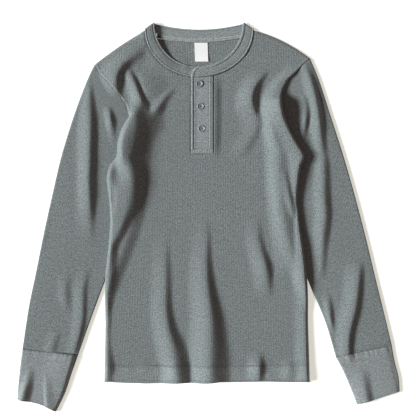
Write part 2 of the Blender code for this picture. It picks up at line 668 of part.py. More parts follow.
def main():
    for stray in list(bpy.data.objects):
        bpy.data.objects.remove(stray)
    garment, cutters = (bpy.data.collections.new(name) for name in ("thermal_top", "cutters"))
    for collection in (garment, cutters):
        bpy.context.scene.collection.children.link(collection)

    def surface(piece, kind):
        return new_surface(piece, *SURFACES[kind])

    make_back(surface("back_body", "knit"), garment)
    make_front(surface("front_body", "knit"), garment)
    for side, table, armhole, under, edge, folds, cuff in (
        ("left", SLEEVE_LEFT, ARMHOLE_LEFT, UNDER_LEFT, SIDE_LEFT, SLEEVE_FOLDS_LEFT, CUFF_LEFT),
        ("right", SLEEVE_RIGHT, ARMHOLE_RIGHT, UNDER_RIGHT, SIDE_RIGHT, SLEEVE_FOLDS_RIGHT, CUFF_RIGHT),
    ):
        name = f"sleeve_{side}"
        make_sleeve(name, table, armhole, under, edge, folds, surface(name, "knit"), garment)
        make_cuff(f"cuff_{side}", cuff, CUFF_END_BOW[side], surface(f"cuff_{side}", "rib"), garment)
    make_neckband(surface("neckband", "rib"), garment)
    make_placket(surface("placket", "rib"), garment)
    make_neck_tape(surface("neck_tape", "tape"), garment)
    make_neck_label(surface("neck_label", "label"), garment)
    for number, place in enumerate(BUTTONS, start=1):
        name = f"button_{number}"
        make_button(name, place, surface(name, "button"), garment, cutters)


main()
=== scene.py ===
"""Looks of a long-sleeved thermal henley top laid flat on its back: cloth, trims, stitching and studio.

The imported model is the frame, in metres, +Z up. Tables and sizes here are in millimetres, and MM turns them
into metres where vertices are placed. Left and right are those of someone looking down on the front.
"""

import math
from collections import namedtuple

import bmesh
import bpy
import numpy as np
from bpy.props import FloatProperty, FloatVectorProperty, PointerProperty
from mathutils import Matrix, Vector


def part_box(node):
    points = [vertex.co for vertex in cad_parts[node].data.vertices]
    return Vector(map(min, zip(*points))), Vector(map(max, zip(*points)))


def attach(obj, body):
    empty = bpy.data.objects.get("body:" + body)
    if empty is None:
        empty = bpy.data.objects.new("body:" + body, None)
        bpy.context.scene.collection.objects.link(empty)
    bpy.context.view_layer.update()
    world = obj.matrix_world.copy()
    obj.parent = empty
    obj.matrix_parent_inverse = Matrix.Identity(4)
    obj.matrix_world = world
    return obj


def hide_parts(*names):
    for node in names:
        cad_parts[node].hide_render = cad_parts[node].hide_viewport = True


bl_info = {
    "name": "Thermal Henley Top",
    "version": (1, 1, 0),
    "blender": (4, 5, 0),
    "location": "3D View > Sidebar > Thermal Top",
    "description": "Lays out a waffle-knit henley with its folds, seams, buttons and a plain studio",
    "category": "Add Mesh",
}

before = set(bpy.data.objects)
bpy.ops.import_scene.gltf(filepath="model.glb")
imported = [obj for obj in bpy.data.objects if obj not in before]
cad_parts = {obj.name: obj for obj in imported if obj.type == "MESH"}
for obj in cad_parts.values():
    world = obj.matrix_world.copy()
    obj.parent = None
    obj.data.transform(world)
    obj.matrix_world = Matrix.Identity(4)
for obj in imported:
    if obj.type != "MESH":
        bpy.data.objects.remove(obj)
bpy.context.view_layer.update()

MM = 0.001


def cad_box(node):
    """Lowest and highest corner of a CAD node, in millimetres."""
    low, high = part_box(node)
    return np.array(low) / MM, np.array(high) / MM


Place = namedtuple("Place", "x y")
Neck = namedtuple("Neck", "x y half_width depth")
Crest = namedtuple("Crest", "y x height left right")
Station = namedtuple("Station", "outer_x outer_y inner_x inner_y")

# Levels and walls, as in the frame
WALL = 1.5
SEAM_GAP = 0.3
FRONT_LEVEL = 3.0
SLEEVE_HEIGHT = 4.5
SLEEVE_LIFT = 5.2
SLEEVE_CROWN = 0.7
BACK_HEM_PEEK = 2.0
SHOULDER_BOW = {"left": 3.3, "right": 7.0}  # how far the shoulder seam rises above a straight line

# The neck is two half ellipses, the band's free edge and its seam, hung from the two neck points.
NECK_EDGE = Neck(x=-17.0, y=338.3, half_width=77.0, depth=75.3)
NECK_SEAM = Neck(x=-16.0, y=326.0, half_width=95.0, depth=81.0)
BACK_EDGE_SAG, BACK_SEAM_SAG = 10.0, 13.0
PLACKET_CORNER = 13.5

PLACKET_LOW, PLACKET_HIGH = cad_box("placket_top")
PLACKET_LEFT, PLACKET_RIGHT, PLACKET_BOTTOM = PLACKET_LOW[0], PLACKET_HIGH[0], PLACKET_LOW[1]

# Each armhole seam runs from the shoulder point to where the body laps over the sleeve, and on under it.
ARMHOLE_LEFT = [
    Place(-200, 266), Place(-188, 248), Place(-174, 233), Place(-158, 214), Place(-145, 196),
    Place(-138, 176),
]
ARMHOLE_RIGHT = [Place(178, 277), Place(168, 269), Place(157, 258), Place(148, 249), Place(139, 240)]
UNDER_LEFT = [Place(-135, 159), Place(-136, 138), Place(-140, 118), Place(-142, 100)]
UNDER_RIGHT = [Place(123, 219), Place(115, 194), Place(115, 166), Place(122, 142), Place(134, 117)]

# The body's side edges, from the hem up to where each armhole seam comes into sight
SIDE_LEFT = [
    Place(-182, -287), Place(-180, -190), Place(-179, -95), Place(-174, -50), Place(-171, -5),
    Place(-174, 40), Place(-177, 74), Place(-171, 91), Place(-162, 103), Place(-158, 132), Place(-153, 150),
    Place(-138, 176),
]
SIDE_RIGHT = [
    Place(177, -288), Place(174, -190), Place(171, -95), Place(166, -50), Place(159, -5), Place(156, 35),
    Place(159, 70), Place(162, 89), Place(168, 107), Place(160, 121), Place(145, 147), Place(134, 172),
    Place(128, 200), Place(130, 220), Place(139, 240),
]

# Sections across each sleeve and cuff, from the shoulder to the wrist
SLEEVE_LEFT = [
    Station(-200, 266, -142, 100), Station(-213, 238, -138, 84), Station(-235, 180, -136, 56),
    Station(-257, 110, -138, 20), Station(-274, 38, -145, -18), Station(-289, -30, -160, -62),
    Station(-302, -95, -181, -112), Station(-315, -158, -205, -176), Station(-326, -231, -228, -241),
]
SLEEVE_RIGHT = [
    Station(178, 277, 134, 117), Station(194, 238, 133, 96), Station(213, 180, 134, 58),
    Station(237, 105, 138, 18), Station(259, 28, 147, -28), Station(277, -42, 161, -76),
    Station(292, -105, 181, -128), Station(307, -166, 204, -182), Station(321, -224, 223, -245),
]
CUFF_LEFT = [
    Station(-326, -231, -228, -241), Station(-330, -262, -240, -275), Station(-333, -292, -251, -308),
    Station(-335, -319, -267, -341),
]
CUFF_RIGHT = [
    Station(321, -224, 223, -245), Station(326, -252, 236, -270), Station(333, -280, 249, -300),
    Station(335, -305, 260, -328),
]
CUFF_END_BOW = {"left": -4.0, "right": 1.0}

# Folds, each a soft ridge along a crest line, a row for each point down it: the crest's place, its height,
# and how far its left and right flanks reach. Where two meet, the higher one wins.
BODY_FOLDS = {
    "shoulder_left": [
        Crest(310, -112, 0, 40, 24), Crest(292, -124, 3, 44, 24), Crest(280, -138, 5, 44, 24),
        Crest(267, -151, 8, 42, 20), Crest(250, -160, 9, 38, 15), Crest(235, -162, 8.5, 30, 13),
        Crest(222, -161, 5, 24, 12), Crest(208, -158, 0, 20, 12),
    ],
    "armhole_left": [
        Crest(262, -141, 0, 12, 11), Crest(252, -138, 3, 15, 12), Crest(240, -132, 5.8, 18, 12),
        Crest(220, -124, 8, 21, 13), Crest(205, -119, 9, 23, 15), Crest(190, -121, 11, 30, 34),
        Crest(175, -129, 14.5, 30, 54), Crest(160, -137, 16.5, 26, 63), Crest(145, -144, 17, 20, 59),
        Crest(125, -149, 16.5, 15, 54), Crest(105, -149, 16, 15, 52), Crest(90, -146, 14, 28, 45),
        Crest(75, -139, 12.5, 70, 37), Crest(60, -136, 11.5, 90, 31), Crest(40, -138, 10.5, 90, 30),
        Crest(20, -142, 9.5, 90, 28), Crest(0, -148, 8.5, 90, 22), Crest(-15, -153, 7, 60, 18),
        Crest(-30, -160, 6, 40, 18), Crest(-50, -170, 6, 20, 15), Crest(-70, -172, 5, 20, 15),
        Crest(-90, -172, 4, 20, 14), Crest(-130, -174, 2, 20, 12), Crest(-160, -175, 0, 20, 12),
    ],
    "chest_plateau": [
        Crest(262, -118, 0, 26, 44), Crest(240, -112, 3, 24, 46), Crest(215, -106, 4, 22, 46),
        Crest(200, -102, 2.4, 22, 40), Crest(188, -100, 0, 22, 36),
    ],
    "chest_left": [
        Crest(228, -60, 0, 16, 10), Crest(215, -72, 3, 20, 13), Crest(200, -84, 5, 24, 15),
        Crest(190, -91, 7, 24, 18), Crest(180, -98, 6.5, 20, 22), Crest(168, -105, 3, 20, 24),
        Crest(155, -112, 0, 20, 24),
    ],
    "chest_right": [
        Crest(258, 97, 0, 34, 12), Crest(246, 92, 3, 34, 13), Crest(237, 85, 5, 32, 13),
        Crest(225, 79, 7, 31, 13), Crest(212, 75, 8, 31, 13), Crest(200, 75, 8, 32, 13),
        Crest(187, 78, 6, 36, 13), Crest(175, 82, 4, 34, 14), Crest(160, 84, 3, 30, 14),
        Crest(145, 78, 2, 28, 15), Crest(125, 66, 2, 26, 16), Crest(100, 52, 0, 26, 16),
    ],
    "armhole_right": [
        Crest(245, 134, 0, 26, 8), Crest(233, 131, 0.8, 30, 8), Crest(222, 128, 2, 32, 8),
        Crest(213, 126, 5, 34, 7), Crest(205, 125, 13.5, 36, 7), Crest(192, 126, 17, 38, 7),
        Crest(174, 129, 14, 40, 7), Crest(157, 137, 10.5, 44, 7), Crest(136, 147, 8.5, 46, 8),
        Crest(118, 158, 8, 48, 8), Crest(104, 164, 8.5, 44, 8), Crest(90, 160, 8, 34, 8),
        Crest(75, 157, 7.2, 28, 8), Crest(60, 155, 6.2, 24, 8), Crest(40, 153, 4.6, 17, 7),
        Crest(20, 153, 3.5, 8, 7), Crest(5, 156, 4, 9, 7), Crest(-20, 158, 4, 14, 8),
        Crest(-45, 161, 5, 18, 8), Crest(-70, 164, 5.5, 22, 8), Crest(-95, 167, 5.5, 24, 8),
        Crest(-130, 169, 4, 24, 8), Crest(-190, 170, 4, 22, 8), Crest(-240, 171, 5, 24, 8),
        Crest(-292, 172, 6, 26, 8),
    ],
    "flank_right": [
        Crest(210, 110, 0, 20, 40), Crest(180, 113, 5, 22, 44), Crest(110, 116, 5, 22, 46),
        Crest(60, 118, 5, 22, 44), Crest(20, 121, 5, 22, 40), Crest(-20, 126, 5, 22, 36),
        Crest(-60, 134, 4, 24, 30), Crest(-110, 138, 0, 24, 30),
    ],
    "waist_centre": [
        Crest(0, -6, 0, 26, 9), Crest(-39, -4, 2, 28, 10), Crest(-79, -5, 4.5, 32, 13),
        Crest(-119, -3, 7, 36, 16), Crest(-151, 1, 9, 38, 20), Crest(-179, 3, 11, 40, 26),
        Crest(-218, 3, 12.5, 42, 33), Crest(-250, 2, 13.5, 42, 38), Crest(-292, 2, 13.5, 42, 38),
    ],
    "waist_left": [
        Crest(-36, -76, 0, 24, 11), Crest(-71, -76, 2, 26, 12), Crest(-119, -76, 4, 28, 14),
        Crest(-159, -76, 5.5, 30, 15), Crest(-195, -71, 7, 32, 18), Crest(-218, -65, 9, 34, 24),
        Crest(-242, -60, 10, 34, 29), Crest(-266, -57, 12, 29, 32), Crest(-292, -55, 11, 34, 32),
    ],
    "waist_right": [
        Crest(0, 84, 0, 24, 12), Crest(-40, 86, 3, 26, 13), Crest(-59, 91, 4, 28, 13),
        Crest(-87, 99, 6, 28, 14), Crest(-111, 102, 4, 28, 13), Crest(-142, 103, 0, 26, 12),
    ],
    "side_right": [
        Crest(94, 131, 0, 24, 14), Crest(78, 132, 4, 24, 14), Crest(57, 136, 5.5, 24, 14),
        Crest(40, 139, 6, 22, 13), Crest(24, 143, 5.5, 20, 12), Crest(8, 147, 4, 20, 10),
        Crest(-10, 152, 0, 20, 10),
    ],
    "hem_right": [
        Crest(-236, 87, 0, 24, 13), Crest(-254, 88, 4.5, 24, 12), Crest(-268, 88, 6, 23, 11),
        Crest(-280, 87, 4, 24, 12), Crest(-294, 84, 2, 26, 14),
    ],
    "side_left": [
        Crest(-120, -175, 0, 10, 9), Crest(-150, -176, 2, 10, 9), Crest(-230, -177, 2, 10, 9),
        Crest(-252, -177, 4, 10, 14), Crest(-266, -177, 5, 10, 16), Crest(-280, -178, 3, 10, 13),
        Crest(-294, -178, 2, 10, 12),
    ],
    "neck_left": [
        Crest(352, -104, 3, 60, 60), Crest(320, -102, 3.6, 60, 46), Crest(300, -98, 2, 54, 42),
        Crest(287, -94, 0.4, 50, 38), Crest(276, -84, 0, 46, 36),
    ],
}
SHARED_FOLDS = ("shoulder_left",)  # these also run out over the head of the sleeve

# Creases are added to the folds: shallow troughs have a height below nothing.
BODY_CREASES = {
    "pit_left": [
        Crest(102, -157, 0, 12, 20), Crest(90, -158, -4.2, 13, 24), Crest(76, -158, -5, 14, 26),
        Crest(64, -158, -3, 13, 24), Crest(50, -156, 0, 13, 18),
    ],
    "crease_left": [
        Crest(58, -167, 0, 5, 7), Crest(40, -166, -1.3, 5, 7), Crest(22, -166, -1.3, 5, 7),
        Crest(4, -167, 0, 5, 7),
    ],
    "dimple_left": [Crest(114, -124, 0, 13, 9), Crest(102, -127, -1.8, 13, 9), Crest(90, -128, 0, 12, 9)],
    "placket_side": [
        Crest(100, 8, 0, 34, 14), Crest(118, 9, 2.2, 38, 14), Crest(180, 10, 2.8, 38, 15),
        Crest(235, 9, 2.2, 38, 15), Crest(250, 8, 0, 38, 14),
    ],
    "hem_right_edge": [
        Crest(-246, 146, 0, 20, 18), Crest(-262, 142, 2.6, 20, 18), Crest(-276, 142, 2.2, 20, 18),
        Crest(-290, 142, 0, 20, 18),
    ],
    "neck_dip": [
        Crest(292, -64, 0, 20, 30), Crest(276, -60, -1.2, 24, 34), Crest(262, -48, -1.3, 26, 30),
        Crest(246, -38, -1, 24, 24), Crest(230, -34, 0, 20, 20),
    ],
    "shoulder_sag": [
        Crest(300, -118, 0, 20, 26), Crest(286, -108, -1.2, 20, 26), Crest(268, -112, -0.8, 18, 24),
        Crest(250, -118, 0, 16, 20),
    ],
}
SLEEVE_FOLDS = {
    "left": {
        "elbow": [
            Crest(250, -214, 0, 20, 11), Crest(227, -211, 2.5, 22, 11), Crest(205, -209, 4, 24, 12),
            Crest(175, -207, 6, 25, 13), Crest(150, -207, 7, 26, 14), Crest(117, -208, 7.5, 26, 14),
            Crest(75, -208, 7.5, 26, 14), Crest(40, -208, 7, 26, 14), Crest(15, -208, 5, 26, 13),
            Crest(-14, -208, 2, 26, 13), Crest(-50, -210, 0, 26, 13),
        ],
        "underarm": [
            Crest(196, -175, 0, 13, 8), Crest(176, -172, 4.5, 13, 8), Crest(155, -167, 6.5, 13, 7),
            Crest(135, -163, 6, 12, 6), Crest(112, -162, 0, 10, 6),
        ],
        "forearm": [
            Crest(-86, -212, 0, 18, 10), Crest(-120, -219, 2.4, 20, 10), Crest(-180, -222, 3.2, 20, 10),
            Crest(-215, -228, 3, 20, 10), Crest(-236, -232, 2, 20, 9), Crest(-248, -234, 0, 20, 9),
        ],
        "forearm_middle": [
            Crest(-96, -250, 0, 16, 12), Crest(-135, -251, 2, 16, 12), Crest(-170, -246, 0, 16, 12),
        ],
        "wrist": [
            Crest(-196, -266, 0, 16, 13), Crest(-214, -270, 1.6, 18, 13), Crest(-228, -274, 2.2, 18, 12),
            Crest(-244, -276, 1.2, 16, 12),
        ],
    },
    "right": {
        "outer": [
            Crest(278, 167, 0, 18, 9), Crest(260, 175, 3, 20, 9), Crest(245, 179, 5, 20, 10),
            Crest(217, 185, 6, 20, 11), Crest(200, 188, 7, 20, 11), Crest(180, 191, 7, 20, 12),
            Crest(160, 193, 7, 20, 12), Crest(140, 195, 5, 20, 12), Crest(118, 198, 3.4, 20, 12),
            Crest(96, 200, 0, 20, 12),
        ],
        "elbow": [
            Crest(122, 199, 0, 20, 12), Crest(98, 200, 3.6, 21, 14), Crest(75, 201, 4.4, 21, 14),
            Crest(37, 201, 5.4, 22, 15),
            Crest(0, 203, 5.4, 22, 15), Crest(-25, 200, 5, 22, 15), Crest(-50, 198, 3.8, 22, 14),
            Crest(-90, 195, 2.5, 22, 13), Crest(-118, 192, 0, 22, 12),
        ],
        "forearm": [
            Crest(-74, 263, 0, 26, 12), Crest(-100, 262, 4, 28, 12), Crest(-120, 260, 5.5, 28, 12),
            Crest(-145, 257, 6, 28, 13), Crest(-166, 253, 6.5, 28, 14), Crest(-187, 248, 6.5, 28, 13),
            Crest(-208, 244, 6.5, 26, 13), Crest(-229, 243, 6, 24, 12), Crest(-250, 244, 4, 24, 12),
        ],
        "forearm_inner": [
            Crest(-132, 207, 0, 14, 10), Crest(-155, 210, 3, 14, 10), Crest(-180, 212, 3.5, 14, 10),
            Crest(-206, 215, 0, 14, 10),
        ],
        "underarm": [
            Crest(218, 166, 0, 14, 12), Crest(200, 169, 3.5, 14, 13), Crest(182, 170, 5, 14, 12),
            Crest(165, 168, 5, 12, 10), Crest(145, 164, 4, 10, 9), Crest(124, 165, 0, 10, 9),
        ],
    },
}
CUFF_FOLDS = {
    "left": {
        "inner": [
            Crest(-226, -236, 1, 50, 9), Crest(-240, -238, 4.4, 54, 9), Crest(-256, -242, 4.2, 54, 9),
            Crest(-280, -249, 3.4, 54, 9), Crest(-310, -258, 2.6, 48, 9), Crest(-345, -270, 1.8, 34, 9),
        ],
        "outer": [
            Crest(-262, -314, 0, 12, 12), Crest(-282, -316, 3, 12, 13), Crest(-300, -321, 6, 12, 15),
            Crest(-330, -329, 6, 10, 16),
        ],
        "middle": [
            Crest(-266, -282, 0, 8, 24), Crest(-284, -283, 2, 8, 24), Crest(-305, -283, 3.2, 8, 26),
            Crest(-340, -280, 3.8, 9, 26),
        ],
    },
    "right": {
        "seam": [
            Crest(-220, 243, 6, 22, 12), Crest(-232, 244, 5.5, 20, 12), Crest(-248, 246, 2, 18, 11),
            Crest(-258, 247, 0, 16, 10),
        ],
        "middle": [
            Crest(-262, 264, 0, 24, 16), Crest(-282, 269, 2.6, 26, 16), Crest(-305, 273, 4, 26, 15),
            Crest(-330, 279, 4.6, 24, 14),
        ],
        "outer": [
            Crest(-226, 306, 1.5, 40, 12), Crest(-244, 312, 1.2, 42, 12), Crest(-280, 322, 1, 42, 9),
            Crest(-312, 330, 1.4, 40, 7),
        ],
    },
}


# Curves and heights


def smooth(knots, values, at):
    """A smooth curve through values at rising knots, read at each of `at` and held level past both ends."""
    knots, values = np.asarray(knots, float), np.asarray(values, float)
    slopes = np.gradient(values, knots)
    at = np.clip(at, knots[0], knots[-1])
    k = np.clip(np.searchsorted(knots, at, side="right") - 1, 0, len(knots) - 2)
    step = knots[k + 1] - knots[k]
    t = (at - knots[k]) / step
    level = values[k] * (1 + 2 * t) * (1 - t) ** 2 + values[k + 1] * t * t * (3 - 2 * t)
    return level + step * t * (1 - t) * (slopes[k] * (1 - t) - slopes[k + 1] * t)


def ease(t):
    """0 to 1 with level ends."""
    t = np.clip(t, 0, 1)
    return t * t * (3 - 2 * t)


def quarter(t):
    """0 to 1 like the side of a quarter circle: steep at 0, level at 1."""
    return np.sqrt(1 - (1 - np.clip(t, 0, 1)) ** 2)


def ridge(distance, centre, width):
    """A soft ridge of height 1 at one distance."""
    return np.exp(-(((distance - centre) / width) ** 2))


def runs(line):
    """Distance along a line at each of its points."""
    return np.concatenate([[0.0], np.cumsum(np.linalg.norm(np.diff(line, axis=0), axis=1))])


def curve(points, step=1.0):
    """A fine line along the smooth curve through the points."""
    path = np.array(points, float)
    knots = runs(path)
    marks = np.linspace(0, knots[-1], int(knots[-1] / step) + 2)
    return np.stack([smooth(knots, path[:, k], marks) for k in range(path.shape[1])], axis=1)


def resample(line, marks):
    """Places on a line at fractions of its length."""
    run = runs(line)
    at = np.asarray(marks) * run[-1]
    return np.stack([np.interp(at, run, line[:, k]) for k in range(line.shape[1])], axis=1)


def distance_to(line, x, y):
    """Distance of each place from a fine line."""
    gaps = [np.min(np.hypot(a[:, None] - line[:, 0], b[:, None] - line[:, 1]), axis=1) for a, b in zip(x, y)]
    return np.array(gaps)


def fold_height(fold, x, y):
    """Height that one fold adds at each place."""
    rows = sorted(fold)
    ys = [row.y for row in rows]
    crest, height, left, right = (
        smooth(ys, [getattr(row, name) for row in rows], y) for name in ("x", "height", "left", "right")
    )
    away = np.where(x < crest, (crest - x) / left, (x - crest) / right)
    inside = (y > ys[0]) & (y < ys[-1])
    return np.where(inside, height * (1 - ease(away)), 0)


def relief(folds, x, y):
    """Height of all the folds together, where the highest wins, with its meeting lines softened."""
    return sum(np.maximum(fold_height(fold, x, y), 0) ** 4 for fold in folds) ** 0.25


def side_x(side, y):
    """X of a side edge at a height up the body."""
    return smooth([p.y for p in side], [p.x for p in side], y)


LAP_START, LAP_FADE = 1.28, 24  # where the body starts to ride up beside a hidden sleeve, and over how far
LAP_TOP_FADE = 34


def lift(x, y):
    """How far the body's two layers ride up over the sleeves that are tucked under their side edges."""
    total = np.zeros_like(x)
    for sign, armhole, under, sleeve in (
        (-1, ARMHOLE_LEFT, UNDER_LEFT, SLEEVE_LEFT),
        (1, ARMHOLE_RIGHT, UNDER_RIGHT, SLEEVE_RIGHT),
    ):
        edge = [*armhole[-3:], *under, *(Place(s.inner_x, s.inner_y) for s in sleeve[1:])]
        edge = sorted(edge, key=lambda p: p.y)
        within = sign * (smooth([p.y for p in edge], [p.x for p in edge], y) - x)
        top = armhole[-1].y + 2
        total = np.maximum(total, ease(LAP_START - within / LAP_FADE) * ease(1 - (y - top) / LAP_TOP_FADE))
    return SLEEVE_LIFT * total


def wander(x, y):
    """Slight unevenness of cloth that was smoothed out by hand."""
    slow = np.sin(x / 31 + 0.8 * np.sin(y / 57)) * np.sin(y / 43 + 1.3)
    quick = np.sin(x / 14 + y / 37 + 2.1 * np.sin(y / 71)) * np.sin(y / 19 + 0.7 * np.sin(x / 47))
    return 0.22 * slow + 0.1 * quick


def hem_pucker(x, y):
    """Small bulges that the twin stitching of the hem draws up."""
    from_stitches = y - hem_line_y()
    bulge = np.sin(x / 6.1 + 1.7 * np.sin(x / 23)) + 0.6 * np.sin(x / 3.7 + 0.6)
    return 0.22 * bulge * (ridge(from_stitches, -7, 6) + 0.5 * ridge(from_stitches, 6, 5))


def front_rise(x, y):
    """Height of the front above its own level: over the sleeves, in its folds and in its unevenness."""
    folds = relief(BODY_FOLDS.values(), x, y) * settings().fold_depth
    creases = sum(fold_height(crease, x, y) for crease in BODY_CREASES.values())
    return lift(x, y) + folds + creases + wander(x, y) + hem_pucker(x, y)


def ellipse(neck, angle):
    """A place on one of the neck's half ellipses: 180 degrees is the left neck point, 360 the right."""
    return neck.x + neck.half_width * np.cos(angle), neck.y + neck.depth * np.sin(angle)


def seam_angle(x):
    """Angle on the front neckline's seam at which it passes an X."""
    return 2 * math.pi - np.arccos((x - NECK_SEAM.x) / NECK_SEAM.half_width)


def back_seam_y(x):
    """The back neckline's seam, between the two neck points."""
    across = (x - NECK_SEAM.x) / NECK_SEAM.half_width
    return NECK_SEAM.y - BACK_SEAM_SAG * (1 - across**2)


# Settings


def length(name, description, millimetres):
    return FloatProperty(
        name=name, description=description, default=millimetres * MM, min=0, unit="LENGTH", precision=5,
    )


def colour(name, description, value):
    return FloatVectorProperty(
        name=name, description=description, default=value, size=3, min=0, max=1, subtype="COLOR",
    )


def factor(name, description, value):
    return FloatProperty(name=name, description=description, default=value, min=0, max=2, subtype="FACTOR")


def angle(name, description, degrees):
    return FloatProperty(name=name, description=description, default=math.radians(degrees), subtype="ANGLE")


class ThermalTopSettings(bpy.types.PropertyGroup):
    """Make-up of the garment: what its cloth, seams and buttons measure, and their colours."""

    fold_depth: factor("Fold depth", "How deep the body's folds are, against those of the frame", 1.0)
    hem_depth: length("Hem depth", "Height of the turned hem", 27)
    band_wall: length("Neckband wall", "Thickness of the doubled neckband", 2.3)
    rib_pitch: length("Rib pitch", "Width of one rib of the body's knit", 2.9)
    fine_rib_pitch: length("Fine rib pitch", "Width of one rib of the bands and cuffs", 1.5)
    stitch_pitch: length("Stitch pitch", "Distance from one stitch to the next", 3.2)
    stitch_length: length("Stitch length", "Length of thread that shows in one stitch", 2.5)
    stitch_radius: length("Stitch radius", "Half the thickness of a stitch", 0.32)
    button_radius: length("Button radius", "Half the width of a button", 6.3)
    button_height: length("Button height", "Thickness of a button", 2.5)
    button_hole: length("Button hole radius", "Half the width of a button's holes", 0.75)
    fleck: factor("Fleck", "How strongly the mixed yarn is flecked", 0.62)
    knit_colour: colour("Knit", "Middle colour of the heather yarn", (0.178, 0.201, 0.205))
    rib_colour: colour("Rib", "Colour of the neckband and placket", (0.212, 0.236, 0.242))
    cuff_colour: colour("Cuffs", "Colour of the cuffs", (0.232, 0.256, 0.264))
    tape_colour: colour("Tape", "Colour of the tape inside the neck", (0.27, 0.3, 0.305))
    label_colour: colour("Label", "Colour of the blank label", (0.9, 0.9, 0.91))
    button_colour: colour("Buttons", "Colour of the dyed buttons", (0.2, 0.226, 0.23))
    thread_colour: colour("Thread", "Colour of the sewing thread", (0.24, 0.268, 0.275))


class ThermalTopStage(bpy.types.PropertyGroup):
    """Floor, light and camera."""

    floor_colour: colour("Floor", "Colour of the studio floor", (0.86, 0.86, 0.86))
    floor_glow: colour("Floor glow", "Light that the floor gives back in the shade", (0.5, 0.508, 0.455))
    shade_colour: colour("Shade", "Light from all round, without the window", (0.204, 0.158, 0.142))
    light_colour: colour("Window light", "Colour of the window's light", (0.94, 0.995, 1.0))
    light_level: factor("Window level", "Brightness that the window gives to a level white surface", 0.84)
    light_height: angle("Window height", "Angle of the light above the floor", 26)
    light_turn: angle("Window side", "Compass angle of the light, from +X", 182)
    light_width: angle("Window width", "How wide the window looks", 18)
    field: length("Field", "Width of floor in the camera's view", 728)


def settings():
    return bpy.context.scene.thermal_top


def millimetres(value):
    return value / MM


def hem_line_y():
    """Y of the middle of the hem's twin stitching."""
    return SIDE_LEFT[0].y + millimetres(settings().hem_depth)


# Meshes and objects


SHARP_ANGLE = math.radians(60)


def finish_piece(name, bm, material, replaces=()):
    """Makes an object of a bmesh, with its finish, its body and the CAD nodes that it stands for."""
    mesh = bpy.data.meshes.new(name)
    bm.to_mesh(mesh)
    bm.free()
    mesh.shade_smooth()
    mesh.set_sharp_from_angle(angle=SHARP_ANGLE)
    mesh.materials.append(material)
    piece = bpy.data.objects.new(name, mesh)
    bpy.context.scene.collection.objects.link(piece)
    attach(piece, "root")
    if replaces:
        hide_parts(*replaces)
    return piece


def grid(points, threads, gone=None, painted_shading=None):
    """A surface over rows and columns of places. Its UV map holds the knit's own coordinates, in metres, and
    its attribute of painted light and shade how much lighter or darker the cloth is painted, mostly painted
    shade in seams, grooves and at edges and painted highlights on ridges."""
    rows, columns = points.shape[0] - 1, points.shape[1] - 1
    bm = bmesh.new()
    layer = bm.loops.layers.uv.new("cloth")
    # per-vertex painted light and shade
    mask = bm.verts.layers.float.new("painted_shading")
    bmesh.ops.create_grid(bm, x_segments=columns, y_segments=rows, size=0.5)
    index = {v: (round((v.co.y + 0.5) * rows), round((v.co.x + 0.5) * columns)) for v in bm.verts}
    for face in bm.faces:
        for corner in face.loops:
            corner[layer].uv = threads[index[corner.vert]] * MM
    for v, place in index.items():
        v.co = points[place] * MM
        v[mask] = 0 if painted_shading is None else painted_shading[place]
    if gone is not None:
        doomed = [f for f in bm.faces if gone(*np.mean([index[v] for v in f.verts], axis=0))]
        bmesh.ops.delete(bm, geom=doomed, context="FACES")
    return bm


def thickened(bm, wall):
    """Gives an open surface its wall, downwards from its top."""
    bm.normal_update()
    lower = [(v, v.normal.copy()) for v in bm.verts]
    bmesh.ops.extrude_face_region(bm, geom=bm.faces[:])
    for v, normal in lower:
        v.co -= normal * wall * MM
    bmesh.ops.recalc_face_normals(bm, faces=bm.faces)
    return bm


def closed(bm):
    """Welds a surface whose rows or columns come back to where they began."""
    bmesh.ops.remove_doubles(bm, verts=bm.verts, dist=1e-6)
    bmesh.ops.recalc_face_normals(bm, faces=bm.faces)
    return bm


def arc_threads(points, column):
    """Knit coordinates of a panel: across it along its rise and fall from one column, and up it."""
    steps = np.hypot(np.diff(points[..., 0], axis=1), np.diff(points[..., 2], axis=1))
    across = np.concatenate([np.zeros((len(points), 1)), np.cumsum(steps, axis=1)], axis=1)
    across += (points[:, column, 0] - across[:, column])[:, None]
    return np.stack([across, points[..., 1]], axis=-1)


# Body

SIDE_ROLL = 6.0  # how far in the front's side edges curve over
SHOULDER_ROLL = 5.0
HEM_ROLL = 1.6
HEM_SAG = 1.9  # how far the hem hangs below a straight line, more so on its left
HEM_SAG_FADE = 90.0  # how far up the body the sag fades out
EDGE_LOFT = 0.4  # how much thicker than the plain wall a rolled edge is
UNDER_BAND_RISE = 1.2
ROLL_STEPS = 7
CELL = 2.6  # usual size of a cell of the body's mesh
SHOULDER_COLUMNS = 34
SCOOP_COLUMNS = 34
SLOT_COLUMNS = 14
BACK_COLUMNS = 56


def rolled(total, columns, roll):
    """Distances from an edge: close together where the cloth curves over, then even."""
    turn = roll * (1 - np.cos(np.linspace(0, math.pi / 2, ROLL_STEPS + 1)))
    return np.concatenate([turn, np.linspace(roll, total, columns - ROLL_STEPS + 1)[1:]])


def row_marks():
    """Heights up the front from hem to neck, as fractions, and the row on which the placket ends."""
    top = ellipse(NECK_SEAM, 1.5 * math.pi)[1]
    hem = SIDE_LEFT[0].y
    low = hem + rolled(PLACKET_BOTTOM - hem, round((PLACKET_BOTTOM - hem) / CELL), HEM_ROLL)
    reach = top - PLACKET_BOTTOM
    high = top - rolled(reach, round(reach / CELL) + ROLL_STEPS, SHOULDER_ROLL * 0.8)[::-1]
    heights = np.concatenate([low, high[1:]])
    return (heights - hem) / (top - hem), len(low) - 1


def patch(left, right, bottom, top, v):
    """Places between four sides. The top's own shape fades below it."""
    v = v[:, None, None]
    u = ((bottom[:, 0] - bottom[0, 0]) / (bottom[-1, 0] - bottom[0, 0]))[None, :, None]
    across = (1 - u) * left[:, None] + u * right[:, None]
    bow = top - ((1 - u[0]) * top[0] + u[0] * top[-1])
    return across + bow * v**3


